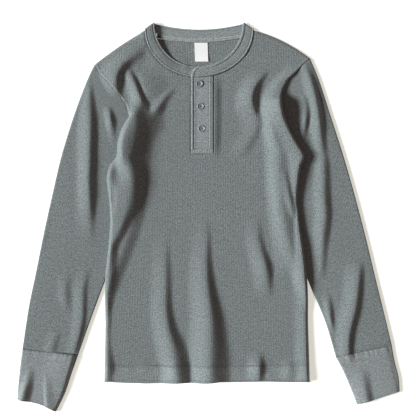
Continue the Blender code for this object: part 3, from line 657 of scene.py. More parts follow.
NECK_ROWS = 110  # rows and columns round a neck point within which the grid is evened out
NECK_COLUMNS_OUT, NECK_COLUMNS_IN = 24, 32
EVENING_PASSES = 400


def relaxed(places, low_column):
    """Evens out the cells of a panel below a neck point, where its columns crowd together."""
    window = places[-NECK_ROWS:, low_column : low_column + NECK_COLUMNS_OUT + NECK_COLUMNS_IN]
    for _ in range(EVENING_PASSES):
        across = window[1:-1, :-2] + window[1:-1, 2:]
        window[1:-1, 1:-1] = (across + window[:-2, 1:-1] + window[2:, 1:-1]) / 4


def outline(side, armhole):
    """A body edge from the hem up to the first point of the armhole seam, and along it to the shoulder."""
    return np.concatenate([curve(side), curve(armhole[::-1])[1:]])


def towards(start, end, distances):
    """Places at distances from one point towards another."""
    start, end = np.array(start, float), np.array(end, float)
    return start + (end - start) * (np.asarray(distances) / np.linalg.norm(end - start))[:, None]


def front_places():
    """The front panel's places. Its columns run straight down both edges of the placket."""
    v, slot_row = row_marks()
    left = resample(outline(SIDE_LEFT, ARMHOLE_LEFT), v)
    right = resample(outline(SIDE_RIGHT, ARMHOLE_RIGHT), v)
    outer = SHOULDER_COLUMNS + SCOOP_COLUMNS
    stops = seam_angle(PLACKET_LEFT), seam_angle(PLACKET_RIGHT)
    scoops = [
        np.stack(ellipse(NECK_SEAM, np.linspace(a, b, n + 1)), axis=1)
        for a, b, n in (
            (math.pi, stops[0], SCOOP_COLUMNS),
            (*stops, SLOT_COLUMNS),
            (stops[1], 2 * math.pi, SCOOP_COLUMNS),
        )
    ]
    uprights = []
    for x, neck in ((PLACKET_LEFT, scoops[1][0]), (PLACKET_RIGHT, scoops[1][-1])):
        hem = np.interp(x, [left[0, 0], right[0, 0]], [left[0, 1], right[0, 1]])
        y = np.interp(v, [0, v[slot_row], 1], [hem, PLACKET_BOTTOM, neck[1]])
        uprights.append(np.stack([np.full(len(v), x), y], axis=1))
    sides = []
    for side, upright, scoop, bow in (
        (left, uprights[0], scoops[0], SHOULDER_BOW["left"]),
        (right, uprights[1], scoops[2][::-1], SHOULDER_BOW["right"]),
    ):
        width = np.linalg.norm(upright[0] - side[0])
        bottom = towards(side[0], upright[0], rolled(width, outer, SIDE_ROLL))
        slope = np.linalg.norm(scoop[0] - side[-1])
        marks = rolled(slope, SHOULDER_COLUMNS, SIDE_ROLL)
        shoulder = towards(side[-1], scoop[0], marks)
        shoulder[:, 1] += bow * np.maximum(np.sin(math.pi * marks / slope), 0) ** 0.7
        sides.append(patch(side, upright, bottom, np.concatenate([shoulder, scoop[1:]]), v))
    bottom = np.linspace(uprights[0][0], uprights[1][0], SLOT_COLUMNS + 1)
    middle = patch(uprights[0], uprights[1], bottom, scoops[1], v)
    for part in sides:
        relaxed(part, SHOULDER_COLUMNS - NECK_COLUMNS_OUT)
    return hung(np.concatenate([sides[0], middle[:, 1:-1], sides[1][:, ::-1]], axis=1)), slot_row


def hem_sag(across):
    """How far the hem hangs down at a share of its width."""
    waves = 0.5 * np.sin(9.5 * math.pi * across) * np.sin(math.pi * across)
    return HEM_SAG * (np.sin(math.pi * across) + np.sin(2 * math.pi * across)) + waves


def hung(places):
    """Lets the hem sag between its ends, with a little unevenness."""
    across = (places[:1, :, 0] - places[0, 0, 0]) / (places[0, -1, 0] - places[0, 0, 0])
    sag = hem_sag(across)
    up = (places[..., 1] - places[:1, :, 1]) / HEM_SAG_FADE
    places[..., 1] -= sag * (1 - ease(up))
    return places


def roll_shares(places):
    """How far each place has come up the curve of the panel's side and shoulder edges, and up its hem's."""
    x, y = places[..., 0], places[..., 1]
    steps = np.hypot(np.diff(x, axis=1), np.diff(y, axis=1))
    from_left = np.concatenate([np.zeros((len(x), 1)), np.cumsum(steps, axis=1)], axis=1)
    from_right = from_left[:, -1:] - from_left
    share = np.ones(x.shape)
    for away, armhole, end in ((from_left, ARMHOLE_LEFT, 0), (from_right, ARMHOLE_RIGHT, -1)):
        sewn = ease((y[:, end] - armhole[-1].y) / 12)[:, None]
        share = np.minimum(share, quarter(away / SIDE_ROLL) * (1 - sewn) + sewn)
    rises = np.hypot(np.diff(x, axis=0), np.diff(y, axis=0))
    below = np.concatenate([np.cumsum(rises[::-1], axis=0)[::-1], np.zeros((1, x.shape[1]))], axis=0)
    columns = np.minimum(np.arange(x.shape[1]), np.arange(x.shape[1])[::-1])
    open_neck = ease((columns - SHOULDER_COLUMNS + 4) / 4)[None, :]
    shoulder = quarter(below / SHOULDER_ROLL) * (1 - open_neck) + open_neck
    return np.minimum(share, shoulder), quarter((y - y[:1]) / HEM_ROLL)


def seam_relief(x, y):
    """What the hem's, armholes', neckline's and placket's stitching does to the front's surface."""
    up = y - hem_line_y()
    total = 0.5 * ease(-up / 2.5) - 0.45 * ridge(up, 0, 1.6)
    for armhole in (ARMHOLE_LEFT, ARMHOLE_RIGHT):
        away = distance_to(curve(armhole), x, y)
        total = total - 0.5 * ridge(away, 0, 1.2) + 0.5 * ridge(away, 2.8, 1.6)
    neck = np.hypot((x - NECK_SEAM.x) / NECK_SEAM.half_width, (y - NECK_SEAM.y) / NECK_SEAM.depth) - 1
    total = total - 0.6 * ridge(neck * NECK_SEAM.depth, 0, 1.8)
    beside = np.where(y > PLACKET_BOTTOM, np.minimum(abs(x - PLACKET_LEFT), abs(x - PLACKET_RIGHT)), 99)
    return total - 0.5 * ridge(beside, 0, 1.2)


def front_painted_shading(x, y):
    """Painted light and shade on the front: lighter over the turned hem, painted shade in the hem's
    stitching, along its bottom edge, beside the placket's left edge, under its foot and in the armhole and
    neck seams, and a painted highlight beside each armhole seam.
    """
    up = y - hem_line_y()
    hem_edge = up + millimetres(settings().hem_depth)
    # painted shade in the hem's stitching and along its bottom edge
    painted_shading = ease(-up / 3) - 1.8 * ridge(up, 0, 1.0) - 1.5 * ridge(hem_edge, 0.8, 1.2)
    on_placket = ease((y - PLACKET_BOTTOM + 2) / 2) * ease((ellipse(NECK_SEAM, 1.5 * math.pi)[1] - y) / 2)
    # painted shade in the groove beside the placket's left edge and under its foot
    painted_shading = painted_shading - 2.8 * ridge(x, PLACKET_LEFT - 1.6, 1.1) * on_placket
    painted_shading = painted_shading - 1.6 * ridge(y, PLACKET_BOTTOM - 1.4, 0.9) * (x > PLACKET_LEFT) * (x < PLACKET_RIGHT)
    for armhole in (ARMHOLE_LEFT, ARMHOLE_RIGHT):
        away = distance_to(curve(armhole), x, y)
        # painted highlight beside each armhole seam and painted shade in the seam itself
        painted_shading = painted_shading + 1.4 * ridge(away, 2.8, 1.5) - 1.4 * ridge(away, 0, 1.0)
    neck = np.hypot((x - NECK_SEAM.x) / NECK_SEAM.half_width, (y - NECK_SEAM.y) / NECK_SEAM.depth) - 1
    return painted_shading - 1.6 * ridge(neck * NECK_SEAM.depth, 0, 1.3) * (y < NECK_SEAM.y)


def front_points():
    """The front panel's top, its painted light and shade, and the row on which the placket ends."""
    places, slot_row = front_places()
    x, y = places[..., 0], places[..., 1]
    share, hem = roll_shares(places)
    top = FRONT_LEVEL + WALL + front_rise(x, y) + seam_relief(x, y)
    low = WALL + SEAM_GAP + EDGE_LOFT + lift(x, y)
    z = low + (top - low) * share
    bottom = z - WALL - EDGE_LOFT
    z = np.where(hem < 1, bottom + (z - bottom) * hem, z)
    return np.stack([x, y, z], axis=-1), front_painted_shading(x, y), slot_row


def under_band(x, y):
    """How far the back panel rises to meet the left part of the neckband's free edge."""
    across = np.clip((x - NECK_EDGE.x) / NECK_EDGE.half_width, -1, 1)
    edge = NECK_EDGE.y - NECK_EDGE.depth * np.sqrt(1 - across**2)
    return UNDER_BAND_RISE * ridge(y, edge + 2, 9) * ease((x + 72) / 14) * (1 - ease((x + 42) / 12))


def back_points():
    """The back panel shares the front's outer columns, and runs higher between the neck points."""
    front, _ = front_places()
    front = front[::2]
    v = row_marks()[0][::2]
    left, right = front[:, : SHOULDER_COLUMNS + 1], front[:, -SHOULDER_COLUMNS - 1 :]
    x = NECK_SEAM.x + NECK_SEAM.half_width * np.linspace(-1, 1, BACK_COLUMNS + 1)
    top = np.stack([x, back_seam_y(x)], axis=1)
    bottom = np.linspace(left[0, -1], right[0, 0], BACK_COLUMNS + 1)
    middle = patch(left[:, -1], right[:, 0], bottom, top, v)
    places = np.concatenate([left, middle[:, 1:-1], right], axis=1)
    places[..., 1] -= BACK_HEM_PEEK * (1 - ease((places[..., 1] - places[:1, :, 1]) / 30))
    x, y = places[..., 0], places[..., 1]
    share, _ = roll_shares(places)
    return np.stack([x, y, WALL + lift(x, y) + under_band(x, y) + 0.35 * (1 - share)], axis=-1)


def build_body():
    points, painted_shading, slot_row = front_points()
    slot = range(SHOULDER_COLUMNS + SCOOP_COLUMNS, SHOULDER_COLUMNS + SCOOP_COLUMNS + SLOT_COLUMNS)
    middle = SHOULDER_COLUMNS + SCOOP_COLUMNS + SLOT_COLUMNS // 2

    def in_slot(row, column):
        return row > slot_row and int(column) in slot

    bm = grid(points, arc_threads(points, middle), in_slot, painted_shading)
    front = finish_piece("front_panel", thickened(bm, WALL), finish("waffle_knit"), ["front_body"])
    points = back_points()
    bm = grid(points, arc_threads(points, points.shape[1] // 2))
    back = finish_piece("back_panel", thickened(bm, WALL), finish("waffle_knit"), ["back_body"])


# Sleeves and cuffs

TUBE_EDGE = 3.5  # how far in a flattened tube's edges curve over
SLEEVE_ROWS, SLEEVE_COLUMNS = 86, 52  # rows to half its length, and columns across one layer
CUFF_ROWS, CUFF_COLUMNS = 44, 44


def ring(width, flat_steps, inset):
    """Round a flattened tube: the fraction across and the rise from -1 to 1, over the top and back under."""
    turns = np.linspace(0, math.pi / 2, ROLL_STEPS)
    bend = (inset + (TUBE_EDGE - inset) * (1 - np.cos(turns))) / width
    flat = np.linspace(TUBE_EDGE / width, 1 - TUBE_EDGE / width, flat_steps + 1)[1:-1]
    across = np.concatenate([bend, flat, 1 - bend[::-1]])
    rise = np.concatenate([np.sin(turns), np.ones(len(flat)), np.sin(turns)[::-1]])
    return np.concatenate([across, across[::-1]]), np.concatenate([rise, -rise[::-1]])


def tube_places(table, start, end_bow, across, along):
    """Places across and along a sleeve or cuff. Its first section takes the shape of the start line."""
    knots = np.linspace(0, 1, len(table))
    sides = [smooth(knots, [row[k] for row in table], along) for k in range(4)]
    outer, inner = np.stack(sides[:2], axis=-1)[:, None], np.stack(sides[2:], axis=-1)[:, None]
    t = across[None, :, None]
    straight = outer + (inner - outer) * t
    first = np.stack([np.interp(across, np.linspace(0, 1, len(start)), start[:, k]) for k in (0, 1)], axis=-1)
    straight = straight + (first - straight[0]) * (1 - ease(along / 0.45))[:, None, None]
    dip = end_bow * np.sin(math.pi * t[..., 0] ** 1.3) * ease(along)[:, None]
    return straight - np.stack([np.zeros_like(dip), dip], axis=-1)


def tube(table, start, end_bow, along, flat_steps, extra, painted_shading):
    """An open, flattened tube of cloth with its wall, and painted light and shade for each step along it."""
    first, last = table[0], table[-1]
    down_x = (last.outer_x + last.inner_x - first.outer_x - first.inner_x) / 2
    down_y = (last.outer_y + last.inner_y - first.outer_y - first.inner_y) / 2
    full_length = np.hypot(down_x, down_y)
    width = np.hypot(first.inner_x - first.outer_x, first.inner_y - first.outer_y)
    layers, threads = [], []
    for inset in (0, WALL):
        across, rise = ring(width, flat_steps, inset)
        places = tube_places(table, start, end_bow, across, along)
        z = SLEEVE_HEIGHT / 2 + (SLEEVE_HEIGHT / 2 - inset) * rise[None, :]
        z = z + extra(places[..., 0], places[..., 1], across[None, :], along[:, None]) * (rise[None, :] > 0)
        points = np.concatenate([places, z[..., None]], axis=-1)
        half = len(across) // 2
        steps = np.linalg.norm(np.diff(points[:, :half], axis=1), axis=2)
        out = np.concatenate([np.zeros((len(points), 1)), np.cumsum(steps, axis=1)], axis=1)
        around = np.concatenate([out, -out[:, ::-1]], axis=1)
        layers.append(points)
        down = np.broadcast_to(along[:, None] * full_length, around.shape)
        threads.append(np.stack([around, down], axis=-1))
    points = np.concatenate([layers[0], layers[1][::-1], layers[0][:1]])
    threads = np.concatenate([threads[0], threads[1][::-1], threads[0][:1]])
    painted_shadings = np.concatenate([painted_shading, painted_shading[::-1], painted_shading[:1]])[:, None] + np.zeros(points.shape[:2])
    return closed(grid(points, threads, painted_shading=painted_shadings))


SIDES = {
    "left": (SLEEVE_LEFT, ARMHOLE_LEFT, UNDER_LEFT, SIDE_LEFT, CUFF_LEFT),
    "right": (SLEEVE_RIGHT, ARMHOLE_RIGHT, UNDER_RIGHT, SIDE_RIGHT, CUFF_RIGHT),
}


def sleeve_rise(side, x, y, across, along):
    """Height of a sleeve's upper layer over its flat form."""
    _, armhole, _, edge, _ = SIDES[side]
    sign = math.copysign(1, armhole[0].x)
    clear = sign * (x - side_x(edge, y))
    open_air = ease((clear - 2) / 34) * ease(across / 0.1) * ease((1 - across) / 0.1)
    own = relief(SLEEVE_FOLDS[side].values(), x, y)
    own = own + SLEEVE_CROWN * np.sin(math.pi * across) + 1.4 * wander(x + 80, y)
    shared = relief([BODY_FOLDS[fold] for fold in SHARED_FOLDS], x, y) * (y > armhole[-1].y)
    seam = 0.5 * ridge(along, 0, 0.003) + 0.7 * ridge(along, 1, 0.005) - 0.5 * ridge(along, 0.985, 0.006)
    return np.maximum(own * open_air, shared) - seam * ease(across / 0.05) * ease((1 - across) / 0.05)


def build_sleeve(side):
    table, armhole, under, _, _ = SIDES[side]
    start = np.concatenate([curve(armhole), curve([armhole[-1], *under])[1:]])
    start[:, 0] += math.copysign(SEAM_GAP, armhole[0].x)
    half = rolled(0.5, SLEEVE_ROWS, 0.02)
    along = np.concatenate([half, 1 - half[-2::-1]])
    # painted shade in the armhole seam and at the cuff seam, and a painted highlight just past the armhole
    # seam
    painted_shading = -1.6 * ridge(along, 0, 0.003) + 0.9 * ridge(along, 0.008, 0.004) - 1.4 * ridge(along, 1, 0.003)
    bm = tube(table, start, 0, along, SLEEVE_COLUMNS, lambda *place: sleeve_rise(side, *place), painted_shading)
    sleeve = finish_piece(f"sleeve_{side}_tube", bm, finish("sleeve_knit"), [f"sleeve_{side}"])


def cuff_rise(side, x, y, across, along):
    """Height of a cuff's upper layer over its flat form: its folds, and the gather at its seam."""
    folds = relief(CUFF_FOLDS[side].values(), x, y)
    gather = 0.3 * np.sin(across * 55 + 2 * np.sin(across * 17)) * (1 - ease(along / 0.25))
    full = folds + 1.0 * np.sin(math.pi * across) + gather + wander(x - 40, y)
    seam = 0.9 * ridge(along, 0, 0.018)
    return (full - seam) * ease(across / 0.07) * ease((1 - across) / 0.07)


def build_cuff(side):
    table = SIDES[side][-1]
    start = np.array([table[0][:2], table[0][2:]], float)
    start[:, 1] -= SEAM_GAP
    along = rolled(1.0, CUFF_ROWS, 0.04)
    # painted shade at the cuff's seam and along its end
    painted_shading = -2.2 * ridge(along, 0, 0.012) - 1.2 * ridge(along, 0.985, 0.012)
    bow = CUFF_END_BOW[side]
    bm = tube(table, start, bow, along, CUFF_COLUMNS, lambda *place: cuff_rise(side, *place), painted_shading)
    cuff = finish_piece(f"cuff_{side}_rib", bm, finish("cuff_rib"), [f"cuff_{side}"])


# Neckband

Section = namedtuple("Section", "free seam turned corner raised")
BAND_WIDTH = 18.5
BAND_END_RAISE = 1.3  # the band's upper end lies over its lower one
BAND_UNDERLAP = 14.0
TURN_LEAN = (0.55, 0.83)  # way in which the band bulges where it turns over at a neck point


def band_sections():
    """Across the neckband, from its upper end at the placket round to its lower end beneath: the free and the
    seam edge in plan, how far it has turned from the front layer to the back one, the share of the rounded
    corner, and the height that it is raised by."""
    upper_end, lower_end = seam_angle(PLACKET_LEFT), seam_angle(PLACKET_LEFT + BAND_UNDERLAP)
    past_placket = seam_angle(PLACKET_RIGHT)

    def front(angle, corner=0.0, raised=0.0):
        return Section(ellipse(NECK_EDGE, angle), ellipse(NECK_SEAM, angle), 0.0, corner, raised)

    def back(k):
        free = NECK_EDGE.x + NECK_EDGE.half_width * k, NECK_EDGE.y - BACK_EDGE_SAG * (1 - k * k)
        seam_x = NECK_SEAM.x + NECK_SEAM.half_width * k
        return Section(free, (seam_x, back_seam_y(seam_x)), 1.0, 0.0, 0.0)

    first = [
        front(a, t, BAND_END_RAISE)
        for a, t in zip(np.linspace(upper_end, past_placket, 25), np.linspace(1, 0, 25))
    ]
    right = [
        front(a, 0.0, BAND_END_RAISE * (1 - ease(t * 2.5)))
        for a, t in zip(np.linspace(past_placket, 2 * math.pi, 70), np.linspace(0, 1, 70))
    ]
    left = [
        front(a, 0.0, -BAND_END_RAISE * ease((ellipse(NECK_SEAM, a)[0] - PLACKET_LEFT + 14) / 12))
        for a in np.linspace(math.pi, lower_end, 76)
    ]
    turns = np.linspace(0, 1, 13)[1:-1]
    over = [front(2 * math.pi)._replace(turned=t) for t in turns]
    rounds = [back(k) for k in np.linspace(1, -1, 80)]
    again = [front(math.pi)._replace(turned=t) for t in turns[::-1]]
    return first + right[1:] + over + rounds + again + left


def band_profile():
    """Across the band: fractions from its free edge to its seam, the wall's rise, the crown and the painted
    light and shade, which is a painted highlight on each rolled edge and painted shade in the groove beside
    it.
    """
    turns = np.linspace(0, math.pi / 2, 5)
    edge = 1.5 / BAND_WIDTH
    bend = edge * (1 - np.cos(turns))
    across = np.concatenate([bend, np.linspace(edge, 1 - edge, 27)[1:-1], 1 - bend[::-1]])
    rise = np.concatenate([np.sin(turns), np.ones(25), np.sin(turns)[::-1]])
    from_edge, from_seam = across * BAND_WIDTH, (1 - across) * BAND_WIDTH
    crown = 0.2 * np.sin(math.pi * across)
    crown = crown + 0.7 * ridge(from_edge, 1.4, 1.0) - 0.6 * ridge(from_edge, 3.4, 0.8)
    crown = crown + 0.5 * ridge(from_seam, 1.4, 1.0) - 0.4 * ridge(from_seam, 3.4, 0.8)
    # painted highlights on the rolled edges and painted shade in the grooves beside them
    painted_shading = 1.5 * ridge(from_edge, 1.2, 1.2) - 2.2 * ridge(from_edge, 3.4, 0.8)
    painted_shading = painted_shading + 1.2 * ridge(from_seam, 1.3, 1.1) - 0.9 * ridge(from_seam, 3.3, 0.7)
    return across, rise, crown, painted_shading


def band_rings():
    """Closed rings round the doubled band at each of its sections, and how many places each side has."""
    across, rise, crown, _ = band_profile()
    half = millimetres(settings().band_wall) / 2
    corner = PLACKET_CORNER * (1 - np.sqrt(1 - (1 - across) ** 2))
    low, high = half, FRONT_LEVEL + half
    middle, reach = (low + high) / 2, (high - low) / 2
    rings = []
    for section in band_sections():
        a = math.pi * section.turned
        side = math.copysign(1, section.free[0] - NECK_EDGE.x)
        out = np.array([side * TURN_LEAN[0] * math.sin(a), TURN_LEAN[1] * math.sin(a), math.cos(a)])
        x = section.free[0] + (section.seam[0] - section.free[0]) * across + section.corner * corner
        y = section.free[1] + (section.seam[1] - section.free[1]) * across + SEAM_GAP
        z = middle + (front_rise(x, y) + section.raised) * (1 + math.cos(a)) / 2
        spine = np.stack([x, y, z], axis=-1) + reach * out
        over = spine + ((half + crown) * rise)[:, None] * out
        under = spine - ((half + 0.5 * crown) * rise)[:, None] * out
        rings.append(np.concatenate([over, under[::-1]]))
    rings = np.array(rings)
    rings[..., 2] = np.maximum(rings[..., 2], 0)  # the underside lies flat
    return rings, len(across)


def band_shade():
    """Painted light and shade of each section: the back of the band is lighter, and the left of its front
    carries painted shade.
    """
    sections = band_sections()
    turned = np.array([section.turned for section in sections])
    x = np.array([section.free[0] for section in sections])
    return 0.8 * turned - 1.1 * (1 - turned) * ease((-34 - x) / 30)


def build_neckband():
    rings, count = band_rings()
    run = runs(rings[:, count // 2])
    steps = np.linalg.norm(np.diff(rings, axis=1), axis=2)
    around = np.concatenate([np.zeros((len(rings), 1)), np.cumsum(steps, axis=1)], axis=1)
    threads = np.stack([np.broadcast_to(run[:, None], around.shape), around], axis=-1)
    # the band's painted light and shade
    painted_shading = band_profile()[-1]
    painted_shading = np.concatenate([painted_shading, painted_shading[::-1]]) + band_shade()[:, None]
    bm = closed(grid(rings, threads, painted_shading=painted_shading))
    bmesh.ops.holes_fill(bm, edges=[e for e in bm.edges if e.is_boundary], sides=0)
    bmesh.ops.recalc_face_normals(bm, faces=bm.faces)
    band = finish_piece("neckband_rib", bm, finish("fine_rib"), ["neckband"])


# Binding

PLACKET_TOP = FRONT_LEVEL + 2 * WALL - 0.2
BINDING_WIDTH, BINDING_RISE = 3.6, 0.8


def binding_path():
    """The neckband's edge from the right neck point, over the rounded corner and down the placket's edge."""
    end = seam_angle(PLACKET_LEFT)
    free, seam = np.array(ellipse(NECK_EDGE, end)), np.array(ellipse(NECK_SEAM, end))
    corner_angle = 2 * math.pi - math.acos((free[0] + PLACKET_CORNER - NECK_EDGE.x) / NECK_EDGE.half_width)
    edge = np.stack(ellipse(NECK_EDGE, np.linspace(2 * math.pi - 0.02, corner_angle, 150)), axis=1)
    t = np.linspace(0, math.pi / 2, 16)[1:]
    share = 1 - np.cos(t)
    corner = free + (seam - free) * share[:, None]
    corner[:, 0] += PLACKET_CORNER * (1 - np.sin(t))
    down = np.linspace(corner[-1], (PLACKET_LEFT, PLACKET_BOTTOM + BOX_HEIGHT), 90)[1:]
    path = np.concatenate([edge, corner, down])
    return resample(path, np.linspace(0, 1, 360))


def build_binding():
    """The narrow folded edge that finishes the upper end of the neckband and the placket as one, in a lighter
    copy of the rib's colour that paints a highlight on it.
    """
    path = binding_path()
    middle = beside(path, BINDING_WIDTH / 2)
    way = beside(path, 1.0) - path[:, :2]
    t = np.linspace(-1, 1, 13)
    x = middle[:, 0:1] + way[:, 0:1] * t * BINDING_WIDTH / 2
    y = middle[:, 1:2] + way[:, 1:2] * t * BINDING_WIDTH / 2
    band_top = FRONT_LEVEL + millimetres(settings().band_wall) + BAND_END_RAISE
    on_placket = ease((ellipse(NECK_SEAM, seam_angle(PLACKET_LEFT))[1] + 3 - middle[:, 1]) / 8)[:, None]
    fall = BAND_END_RAISE * ease((middle[:, 0:1] - PLACKET_RIGHT) / 30)
    base = (band_top - fall) * (1 - on_placket) + PLACKET_TOP * on_placket
    shape = np.sqrt(1 - 0.96 * t * t) - 0.55 * ridge(t, 0.12, 0.2)
    z = base + front_rise(x, y) + BINDING_RISE * shape - 0.2
    points = np.stack([x, y, z], axis=-1)
    run = runs(path)[:, None] + 0 * x
    bm = thickened(grid(points, np.stack([run, t * BINDING_WIDTH / 2 + 0 * x], axis=-1)), 0.5)
    finish_piece("edge_binding", bm, finish("binding_rib_painted_highlight"))


# Placket

BOX_HEIGHT = 7.0  # the boxed end of the placket, where both strips are stitched down
FOLD_LINE, RIGHT_LINE = 4.6, 7.4  # stitched lines in from the left and right edges


def placket_places(columns, rows):
    """Places over the placket, from its foot up to the curve of the neckline's seam."""
    x = np.linspace(PLACKET_LEFT, PLACKET_RIGHT, columns + 1)
    top = ellipse(NECK_SEAM, seam_angle(x))[1] - 2 * SEAM_GAP
    y = PLACKET_BOTTOM + (top[None, :] - PLACKET_BOTTOM) * np.linspace(0, 1, rows + 1)[:, None]
    return np.broadcast_to(x, y.shape).copy(), y


def placket_edges(x, y):
    """Distances in from the placket's left and right edges, and up from its foot."""
    return x - PLACKET_LEFT, PLACKET_RIGHT - x, y - PLACKET_BOTTOM


def placket_z(x, y):
    """Top of the upper strip, with its piped left edge, its stitched ridges and its boxed end."""
    left, right, low = placket_edges(x, y)
    z = PLACKET_TOP + front_rise(x, y)
    above_box = ease((low - BOX_HEIGHT) / 1.5)
    lines = 0.5 * ridge(left, 2.0, 1.1) - 0.6 * ridge(left, FOLD_LINE, 0.8) + 0.4 * ridge(left, 6.6, 0.9)
    lines = lines - 0.2 * ridge(right, RIGHT_LINE, 0.7) + 0.4 * ridge(right, 5.4, 1.2)
    ribs = 0.22 * np.sin(x * 2 * math.pi / 2.9) * (1 - above_box)
    return z + lines * above_box + ribs - 0.5 * ridge(low, BOX_HEIGHT + 0.8, 0.7) - 0.5 * (1 - above_box)


def placket_painted_shading(x, y):
    """Painted shade in the grooves of the placket's stitched lines, painted highlights on its ridges and near
    its right edge, where painted light also lifts the shadow of the strip's edge, painted shade above the
    boxed end and a lighter boxed end.
    """
    left, right, low = placket_edges(x, y)
    above_box = ease((low - BOX_HEIGHT) / 1.5)
    # painted highlight near the right edge, and painted light over the shadow of the strip's right edge
    painted_shading = 1.4 * ridge(right, 5.0, 1.6) + 3 * ridge(right, 0, 1.2) - 0.4 * ridge(right, RIGHT_LINE, 0.8)
    painted_shading = painted_shading + 0.8 * ridge(left, 6.3, 0.9) - 2.2 * ridge(left, FOLD_LINE, 0.7)
    return painted_shading * above_box - 1.8 * ridge(low, BOX_HEIGHT + 0.8, 0.8) + 0.8 * (1 - above_box)


def build_placket():
    x, y = placket_places(96, 90)
    left, right, low = placket_edges(x, y)
    fall = quarter(np.minimum(np.minimum(left, 0.2 * right), low) / 1.3)
    base = FRONT_LEVEL + WALL + SEAM_GAP + 0.2 + front_rise(x, y)
    points = np.stack([x, y, base + (placket_z(x, y) - base) * fall], axis=-1)
    # the strip carries painted light and shade
    bm = thickened(grid(points, points[..., :2], painted_shading=placket_painted_shading(x, y)), 0.9)
    top = finish_piece("placket_strip", bm, finish("fine_rib"), ["placket_top"])
    x, y = placket_places(20, 30)
    points = np.stack([x, y, FRONT_LEVEL + WALL + front_rise(x, y)], axis=-1)[1:, 1:-1]
    bm = thickened(grid(points, points[..., :2]), WALL)
    under = finish_piece("placket_facing", bm, finish("fine_rib"), ["placket_under"])


# Neck tape and label

TAPE_WIDTH, TAPE_WALL = 7.5, 0.9
TAPE_RUN_ON = 10.0  # how far the tape runs on beneath the front of the neckband
LABEL_WIDTH, LABEL_LENGTH, LABEL_TURN = 23.0, 33.0, math.radians(2.2)


def build_neck_tape():
    low, high = cad_box("neck_tape")
    x = np.linspace(low[0], high[0] + TAPE_RUN_ON, 90)
    shown = ease((high[0] + TAPE_RUN_ON - x) / TAPE_RUN_ON)[None, :]
    down = np.linspace(TAPE_WIDTH, 0, 17)[:, None]
    y = back_seam_y(x)[None, :] - down
    ridges = 0.9 * ridge(down, 1.8, 1.3) + 0.5 * ridge(down, 5.2, 1.5) - 0.3 * ridge(down, 3.6, 0.8)
    z = high[2] - 0.2 + ridges * shown + 0.15 * np.sin(x / 2.1) * ridge(down, 5.2, 2) * shown
    points = np.stack([np.broadcast_to(x, y.shape), y, z], axis=-1)
    # painted highlights on the tape's ridges, painted shade in its groove, and painted shadow under its lower
    # edge and over its left end, where the neckband shades it
    painted_shading = 1.6 * ridge(down, 1.8, 1.3) + 0.8 * ridge(down, 5, 1.0) - 1.2 * ridge(down, 3.6, 0.7)
    painted_shading = painted_shading - 3 * ridge(down, 7.3, 0.8) - 5 * (1 - ease((x + 88) / 8))
    bm = thickened(grid(points, arc_threads(points, 45), painted_shading=painted_shading + 0 * x), TAPE_WALL)
    tape = finish_piece("neck_tape_strip", bm, finish("neck_tape"), ["neck_tape"])


def build_neck_label():
    low, high = cad_box("neck_label")
    rows, columns = np.linspace(-LABEL_LENGTH, 0, 34), np.linspace(-0.5, 0.5, 24) * LABEL_WIDTH
    down, across = np.meshgrid(rows, columns, indexing="ij")
    top = Place((low[0] + high[0]) / 2 - LABEL_LENGTH / 2 * math.sin(LABEL_TURN), high[1])
    x = top.x + across * math.cos(LABEL_TURN) - down * math.sin(LABEL_TURN)
    y = top.y + down * math.cos(LABEL_TURN)
    curl = 0.5 * (down / LABEL_LENGTH) ** 2 * (0.4 + across / LABEL_WIDTH)
    z = high[2] + 0.2 + np.maximum(curl, 0) + 0.25 * np.sin(down / 7) * (across / LABEL_WIDTH + 0.5)
    points = np.stack([x, y, z], axis=-1)
    bm = thickened(grid(points, points[..., :2]), 0.4)
    label = finish_piece("neck_label_blank", bm, finish("label_satin"), ["neck_label"])


# Buttons

BUTTON_NUMBERS = (1, 2, 3)
HOLE_APART = 2.6
BUTTON_SINK = 0.5  # how far a button is drawn down into the rib by its thread
BUTTON_STEPS = 56
THREAD_OFFSETS = (-0.32, 0.32)  # two strands beside each other across the dish
THREAD_HEIGHT = 1.45
Turn = namedtuple("Turn", "radius height")  # fractions of a button's radius and height
BUTTON_PROFILE = [
    Turn(0, 0.6), Turn(0.44, 0.58), Turn(0.58, 0.64), Turn(0.69, 0.84), Turn(0.78, 0.98), Turn(0.86, 1.0),
    Turn(0.94, 0.92), Turn(0.99, 0.74), Turn(1.0, 0.56), Turn(0.97, 0.32), Turn(0.89, 0.14), Turn(0.76, 0.04),
    Turn(0, 0.04),
]


def button_seat(number):
    """Centre of a button's foot."""
    low, high = cad_box(f"button_{number}")
    return np.array([(low[0] + high[0]) / 2, (low[1] + high[1]) / 2, low[2] - BUTTON_SINK])


def turned_button():
    """A dished disc spun from its profile, before its holes are drilled."""
    bm = bmesh.new()
    radius, height = settings().button_radius, settings().button_height
    verts = [bm.verts.new((radius * turn.radius, 0, height * turn.height)) for turn in BUTTON_PROFILE]
    edges = [bm.edges.new(pair) for pair in zip(verts, verts[1:])]
    bmesh.ops.spin(
        bm, geom=[*verts, *edges], cent=(0, 0, 0), axis=(0, 0, 1), angle=2 * math.pi,
        steps=BUTTON_STEPS, use_merge=True,
    )
    bmesh.ops.remove_doubles(bm, verts=bm.verts, dist=1e-6)
    bmesh.ops.recalc_face_normals(bm, faces=bm.faces)
    return bm


